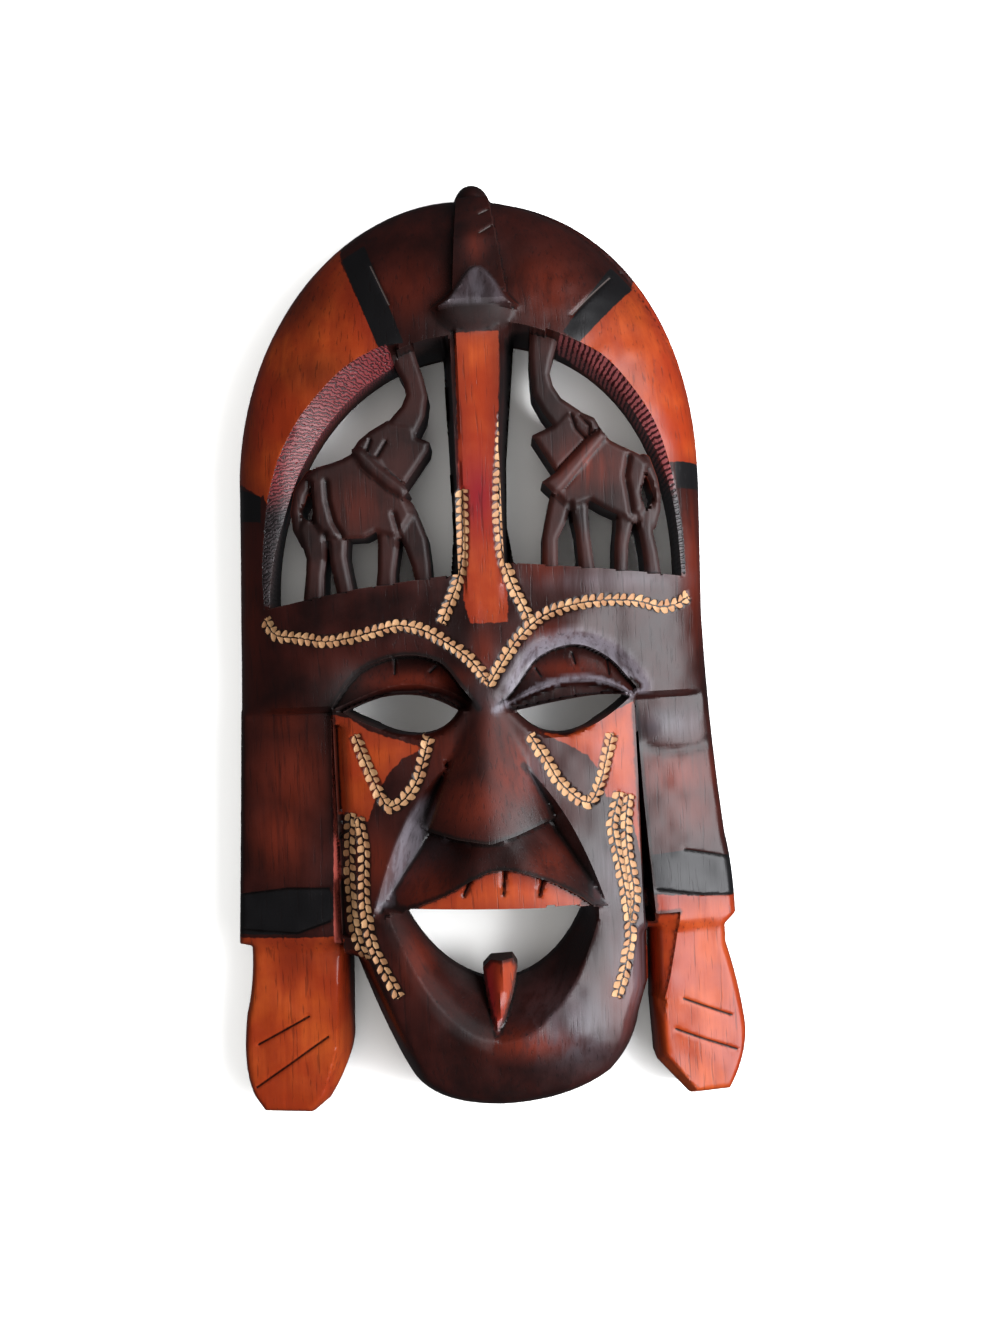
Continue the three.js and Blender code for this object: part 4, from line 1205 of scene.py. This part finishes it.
# Wood grain: streaks and pores drawn out along the block, and a slow mottle
grainLook = {
    "Streaks": {"drawn": 0.09, "run": (0.32, 0.7),
                "noise": {"Scale": 230, "Detail": 5, "Roughness": 0.6, "Distortion": 0.4}},
    "Pores": {"drawn": 0.06, "run": (0.58, 0.68), "noise": {"Scale": 900, "Detail": 3, "Roughness": 0.5}},
    "Mottle": {"drawn": 1, "run": (0.33, 0.68), "noise": {"Scale": 38, "Detail": 4, "Roughness": 0.55}},
}
grain, given, result = effect("wood grain", ["Position"], grainLook, "Vector")
for name, look in grainLook.items():
    mapped = {"Vector": given["Position"], "Scale": (1, 1, look["drawn"])}
    drawn = addNode(grain, "Mapping", mapped).outputs[0]
    noise = addNode(grain, "TexNoise", {"Vector": drawn, **look["noise"]}).outputs["Fac"]
    grain.links.new(ramp(grain, noise, *look["run"]), result[name])

# Strokes along the sloped strips of the windows, counted along the lip
hatching, given, result = effect("hatching", ["Along", "Across", "Waver"], ["Stroke"])
slant = given["Along"]
for name, share in (("Across", 0.16), ("Waver", 2.4)):
    slant = arithmetic(hatching, "ADD", slant, arithmetic(hatching, "MULTIPLY", given[name], share))
stroke = arithmetic(hatching, "SUBTRACT", arithmetic(hatching, "FRACT", slant), 0.5)
stroke = arithmetic(hatching, "ABSOLUTE", stroke)
hatching.links.new(ramp(hatching, stroke, 0.3, 0.12), result["Stroke"])

# Small blunt teeth on both sides of a groove, each a little longer, wider or more askew than the next.
# Inside is above zero within a tooth.
chipVaries = {"reach": (0.8, 1.16), "half": (0.82, 1.14), "lean": (-0.1, 0.1)}
teeth, given, result = effect("chip rows", ["Along", "Out", "Side", "Taper"], ["Inside", "Tone"])
far = ramp(teeth, given["Side"], -0.1, 0.1)
along = arithmetic(teeth, "ADD", given["Along"], arithmetic(teeth, "MULTIPLY", far, 0.5))
number = arithmetic(teeth, "FLOOR", along)
seed = arithmetic(teeth, "ADD", number, arithmetic(teeth, "MULTIPLY", far, 0.37))
random = addNode(teeth, "TexWhiteNoise", {"W": seed}, noise_dimensions="1D").outputs["Color"]
random = addNode(teeth, "SeparateColor", {"Color": random}).outputs
reach = spread(teeth, random[0], *(share * chip["reach"] for share in chipVaries["reach"]))
half = spread(teeth, random[1], *(share * chip["half"] for share in chipVaries["half"]))
lean = spread(teeth, random[2], *(chip["lean"] + more for more in chipVaries["lean"]))
outward = arithmetic(teeth, "DIVIDE", arithmetic(teeth, "SUBTRACT", given["Out"], chip["gap"]), reach)
lean = arithmetic(teeth, "MULTIPLY", lean, outward)
outward = arithmetic(teeth, "SUBTRACT", outward, 1.0)
narrower = arithmetic(teeth, "SUBTRACT", 1.0, arithmetic(teeth, "MULTIPLY", given["Taper"], outward))
half = arithmetic(teeth, "MULTIPLY", half, narrower)
lean = arithmetic(teeth, "ADD", lean, 0.5)
sideways = arithmetic(teeth, "SUBTRACT", arithmetic(teeth, "FRACT", along), lean)
sideways = arithmetic(teeth, "ABSOLUTE", arithmetic(teeth, "DIVIDE", sideways, half))
inside = arithmetic(teeth, "SUBTRACT", 1.0, arithmetic(teeth, "POWER", sideways, chip["power"]))
squared = arithmetic(teeth, "MULTIPLY", outward, outward)
inside = arithmetic(teeth, "SUBTRACT", inside, arithmetic(teeth, "MULTIPLY", squared, squared))
teeth.links.new(arithmetic(teeth, "MAXIMUM", inside, -3.0), result["Inside"])
teeth.links.new(random[1], result["Tone"])

wood = bpy.data.materials.new("stained wood")
wood.use_nodes = True
tree = wood.node_tree
shader = tree.nodes["Principled BSDF"]

# The colours of the stain and the wood, and of the painted shade and painted sheen. A pair of them is mixed
# unevenly over the wood.
stainAndPaintedLight = {
    "burgundy": ((0.012, 0.0035, 0.003), (0.040, 0.0066, 0.0045)), "glow": (0.24, 0.030, 0.011),
    "streak": (0.006, 0.003, 0.003), "orange": ((0.36, 0.038, 0.008), (0.52, 0.082, 0.013)),
    "orangeStreak": (0.26, 0.026, 0.007), "orangeEdge": (0.17, 0.016, 0.008),
    "deepRed": (0.24, 0.010, 0.016), "darkerStainAndShade": (0.055, 0.010, 0.005), "band": (0.0065, 0.006, 0.0065),
    "figure": ((0.012, 0.0042, 0.0035), (0.040, 0.0095, 0.0070)), "figureGlow": (0.17, 0.025, 0.012),
    "litRedEarEdge": (0.62, 0.13, 0.10), "paintedHollowShade": (0.008, 0.0045, 0.004),
    # the right strip's colour is painted paler, as painted light
    "strip": ((0.22, 0.036, 0.040), (0.44, 0.115, 0.12)), "stripStroke": (0.055, 0.012, 0.014),
    "lowStrip": ((0.030, 0.022, 0.024), (0.008, 0.006, 0.006)), "cut": (0.004, 0.003, 0.003),
    "creaseShade": (0.006, 0.0045, 0.004), "shade": (0.007, 0.005, 0.0045), "paintedSheen": (0.26, 0.235, 0.27),
    "edgeWearAndHighlight": (0.16, 0.09, 0.075), "scratch": (0.15, 0.12, 0.11), "besideRow": (0.010, 0.005, 0.0035),
    "groove": (0.006, 0.004, 0.003), "chip": ((0.49, 0.24, 0.12), (0.72, 0.43, 0.22)),
    "chipStreak": (0.36, 0.17, 0.065), "back": ((0.030, 0.011, 0.007), (0.075, 0.028, 0.015)),
    "backStreak": (0.018, 0.007, 0.005),
}


def attribute(name):
    return addNode(tree, "Attribute", attribute_name=name).outputs["Fac"]


def useEffect(group, **links):
    return addNode(tree, "Group", links, node_tree=group).outputs


def product(a, b):
    return arithmetic(tree, "MULTIPLY", a, b)


# A value with the wood's fine waver added, which makes an edge of the stain uneven
def wavered(value, amount):
    return arithmetic(tree, "ADD", value, product(waver, amount))


# Mixes two colours, each a name in the dictionary, a plain colour or a socket
def blend(amount, *colours):
    colours = (stainAndPaintedLight[colour] if isinstance(colour, str) else colour for colour in colours)
    a, b = ((*colour, 1) if isinstance(colour, tuple) else colour for colour in colours)
    return addNode(tree, "Mix", {0: amount, 6: a, 7: b}, data_type="RGBA", clamp_factor=True).outputs[2]


position = addNode(tree, "TexCoord").outputs["Object"]
grained = useEffect(grain, Position=position)
streaks, pores, mottle = grained["Streaks"], grained["Pores"], grained["Mottle"]
fine = addNode(tree, "TexNoise", {"Vector": position, "Scale": 420, "Detail": 2}).outputs["Fac"]
waver = arithmetic(tree, "SUBTRACT", fine, 0.5)

glow = product(attribute("glow"), ramp(tree, streaks, -0.6, 1.0))
dark = blend(product(streaks, 0.35), blend(glow, blend(mottle, *stainAndPaintedLight["burgundy"]), "glow"), "streak")
orangeIn = wavered(attribute("orange"), 1.6)
orange = blend(product(streaks, 0.5), blend(mottle, *stainAndPaintedLight["orange"]), "orangeStreak")
orange = blend(ramp(tree, orangeIn, 9.0, 0.0, 0.0, 0.5), orange, "orangeEdge")
figured = ramp(tree, attribute("figure"), -0.1, 0.2)
figure = blend(glow, blend(mottle, *stainAndPaintedLight["figure"]), "figureGlow")

# The strips are hatched, and dark at their feet. The right one's strokes are straighter, and its mauve is
# painted paler, as painted light, since it faces away from the lamps.
stripIn = attribute("strip")
apart = addNode(tree, "SeparateXYZ", {"Vector": position}).outputs
strokeWaver = product(waver, ramp(tree, apart["X"], -0.01, 0.01, 1.0, 0.35))
stroke = useEffect(hatching, Along=attribute("stripAlong"), Across=attribute("stripAcross"),
                   Waver=strokeWaver)["Stroke"]
mauve = blend(stroke, blend(ramp(tree, apart["X"], -0.01, 0.01), *stainAndPaintedLight["strip"]), "stripStroke")
mauve = blend(ramp(tree, apart["Z"], -0.088, -0.104), mauve, blend(stroke, *stainAndPaintedLight["lowStrip"]))

besideRow = attribute("rowOut")
chips = useEffect(teeth, Along=attribute("rowAlong"), Out=besideRow, Side=attribute("rowSide"),
                  Taper=attribute("rowTaper"))
chipped = ramp(tree, wavered(chips["Inside"], 1.1), -0.12, 0.2)
pale = blend(product(streaks, 0.5), blend(chips["Tone"], *stainAndPaintedLight["chip"]), "chipStreak")
groove = ramp(tree, wavered(besideRow, 0.4), 0.5, 0.2)
hidden = ramp(tree, wavered(attribute("back"), 0.05), 0.9, 0.97)
bare = blend(product(streaks, 0.6), blend(mottle, *stainAndPaintedLight["back"]), "backStreak")

# The layers of colour, from the ground up: the stain and the wood's own marks, with painted shade, painted
# sheen and painted edge highlights among them
colour = blend(ramp(tree, orangeIn, -0.3, 0.3), dark, orange)
turn, paintedHollowShade = attribute("turn"), attribute("paintedHollowShade")
layers = (
    (attribute("deepRed"), "deepRed"),
    # Darker orange: partly stain, partly painted shade
    (attribute("darkerStainAndShade"), "darkerStainAndShade"),
    (ramp(tree, wavered(attribute("band"), 0.7), -0.2, 0.25), "band"),
    (figured, figure),
    # Orange-red of the ear's groove wall, brightened as painted light
    (ramp(tree, wavered(attribute("litRedEarEdge"), 0.6), 0.2, -0.2), "litRedEarEdge"),
    # Painted shade in the deep hollows and under the crest's lip
    (product(paintedHollowShade, 0.85), "paintedHollowShade"),
    (ramp(tree, wavered(stripIn, 1.2), -0.2, 0.3), mauve),
    # Where the surface turns inwards it is darkened: painted shade in the creases
    (ramp(tree, turn, -0.1, -0.6, 0.0, 0.7), "cut"),
    # Painted shade along the creases
    (ramp(tree, wavered(attribute("crease"), 1.6), 2.0, 0.6, 0.0, 0.8), "creaseShade"),
    (product(attribute("shade"), ramp(tree, waver, -0.6, 0.3)), "shade"),
    # Painted sheen, a painted reflection of the lamps
    (product(attribute("paintedSheen"), ramp(tree, streaks, 1.6, 0.0)), "paintedSheen"),
    # Ridges are lighter: partly wear, partly a painted highlight where edges catch the light
    (product(ramp(tree, turn, 0.25, 0.8), ramp(tree, mottle, 0.1, 1.0, 0.03, 0.2)), "edgeWearAndHighlight"),
    (product(pores, 0.4), "streak"),
    (ramp(tree, attribute("incised"), 0.75, 0.25, 0.0, 0.85), "cut"),
    (ramp(tree, attribute("scratch"), 0.5, 0.15, 0.0, 0.7), "scratch"),
    (ramp(tree, besideRow, 3.6, 2.4, 0.0, 0.75), "besideRow"),
    (product(groove, 0.8), "groove"),
    (chipped, pale),
    (hidden, bare),
)
for cover, tint in layers:
    colour = blend(cover, colour, tint)
tree.links.new(colour, shader.inputs["Base Color"])

# The wax is duller in the chips, the hollows and the figures, and where it is lost
roughness = spread(tree, mottle, 0.30, 0.40)
duller = ((chipped, 0.3), (paintedHollowShade, 0.25), (figured, 0.16), (hidden, 0.25), (attribute("dull"), 0.34))
for dull, amount in duller:
    roughness = arithmetic(tree, "ADD", roughness, product(dull, amount))
tree.links.new(roughness, shader.inputs["Roughness"])
strokes = product(stroke, ramp(tree, stripIn, 0.0, 0.6, 0.0, 0.6))
surfaceMarks = product(chipped, arithmetic(tree, "MULTIPLY_ADD", hidden, 0.4, -0.4))
for mark, amount in ((strokes, 1.0), (streaks, 0.05), (pores, 0.05)):
    surfaceMarks = arithmetic(tree, "SUBTRACT", surfaceMarks, product(mark, amount))
bump = addNode(tree, "Bump", {"Height": surfaceMarks, "Strength": 0.7, "Distance": 0.0008})
tree.links.new(bump.outputs[0], shader.inputs["Normal"])
mask.data.materials.clear()
mask.data.materials.append(wood)
print("wood painted")

# The plain white wall it hangs on, and a pale floor well below
staging = {
    "wall": {"middle": (0, 0.001, 0.35), "turn": 90, "half": (2.5, 1.25, 1, 1),
             "colour": (0.8, 0.79, 0.77, 1)},
    "floor": {"middle": (0, -1.4995, -0.9), "turn": 0, "half": (2.5, 1.5, 1, 1),
              "colour": (0.72, 0.7, 0.66, 1)},
}


# A plain sheet, clear when the camera looks at it from behind
def stageSheet(name, look):
    sheet = bmesh.new()
    place = (Matrix.Translation(look["middle"]) @ Matrix.Rotation(radians(look["turn"]), 4, "X")
             @ Matrix.Diagonal(look["half"]))
    bmesh.ops.create_grid(sheet, x_segments=1, y_segments=1, size=1, matrix=place)
    data = bpy.data.meshes.new(name)
    sheet.to_mesh(data)
    sheet.free()
    thing = bpy.data.objects.new(name, data)
    bpy.context.scene.collection.objects.link(thing)
    paint = bpy.data.materials.new(name)
    paint.use_nodes = True
    nodes = paint.node_tree
    surface = nodes.nodes["Principled BSDF"]
    surface.inputs["Base Color"].default_value = look["colour"]
    surface.inputs["Roughness"].default_value = 0.85
    kinds = ("LightPath", "NewGeometry", "BsdfTransparent")
    rays, geometry, clear = (addNode(nodes, kind).outputs for kind in kinds)
    fromBehind = arithmetic(nodes, "MULTIPLY", rays["Is Camera Ray"], geometry["Backfacing"])
    mixed = addNode(nodes, "MixShader", {0: fromBehind, 1: surface.outputs[0], 2: clear[0]})
    nodes.links.new(mixed.outputs[0], nodes.nodes["Material Output"].inputs["Surface"])
    data.materials.append(paint)
    thing.visible_glossy = thing.visible_diffuse = False
    thing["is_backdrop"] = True
    return thing


# The wall has lights of its own, so that it stays white and the mask's shadow on it soft
litWall = bpy.data.collections.new("lit wall")
for name, look in staging.items():
    litWall.objects.link(stageSheet(name, look))
print("stage set")

wallLamp = {"target": (0, 0, -0.1), "colour": (0.96, 0.98, 1.0), "receivers": litWall}
lamps = {
    "window light": {"place": (0.5, -0.5, -0.24), "target": (0, 0, -0.2), "size": (0.55, 1.0), "power": 11,
                     "colour": (0.95, 0.96, 1.0)},
    "fill light": {"place": (-0.35, -1.3, -0.1), "target": (0, 0, -0.2), "size": (1.2, 1.2), "power": 5,
                   "colour": (1.0, 0.95, 0.9), "glossy": False},
    "wall light": {"place": (0, -1.5, 0), "size": (4, 4), "power": 44, **wallLamp},
    "wall right light": {"place": (1.5, -1.3, -0.2), "size": (0.9, 0.9), "power": 72, **wallLamp},
    "wall left light": {"place": (-1.9, -0.8, 0), "size": (1.2, 1.2), "power": 42, **wallLamp},
}
for name, look in lamps.items():
    lamp = bpy.data.lights.new(name, "AREA")
    lamp.shape, lamp.energy, lamp.color = "RECTANGLE", look["power"], look["colour"]
    lamp.size, lamp.size_y = look["size"]
    thing = bpy.data.objects.new(name, lamp)
    bpy.context.scene.collection.objects.link(thing)
    place, target = Vector(look["place"]), Vector(look["target"])
    aim = (target - place).to_track_quat("-Z", "Y")
    thing.matrix_world = Matrix.Translation(place) @ aim.to_matrix().to_4x4()
    thing.visible_glossy = look.get("glossy", True)
    if "receivers" in look:
        thing.light_linking.receiver_collection = look["receivers"]
world = bpy.context.scene.world or bpy.data.worlds.new("room")
bpy.context.scene.world = world
world.use_nodes = True
background = world.node_tree.nodes["Background"]
background.inputs["Color"].default_value = (0.9, 0.93, 1.0, 1)
background.inputs["Strength"].default_value = 0.05
bpy.context.scene.view_settings.view_transform = "Standard"

shot = {"place": (0.004, -0.590, -0.172), "roll": -2.7, "lens": 23.4, "height": 24}
camera = bpy.data.cameras.new("camera")
camera.sensor_fit, camera.sensor_height, camera.lens = "VERTICAL", shot["height"], shot["lens"]
viewer = bpy.data.objects.new("camera", camera)
bpy.context.scene.collection.objects.link(viewer)
viewer.matrix_world = (Matrix.Translation(shot["place"]) @ Matrix.Rotation(radians(90), 4, "X")
                       @ Matrix.Rotation(radians(shot["roll"]), 4, "Z"))
bpy.context.scene.camera = viewer

size = {"cad": cadBox, "visual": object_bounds()}
{key: [list(corner) for corner in box] for key, box in size.items()}
print("size", size)
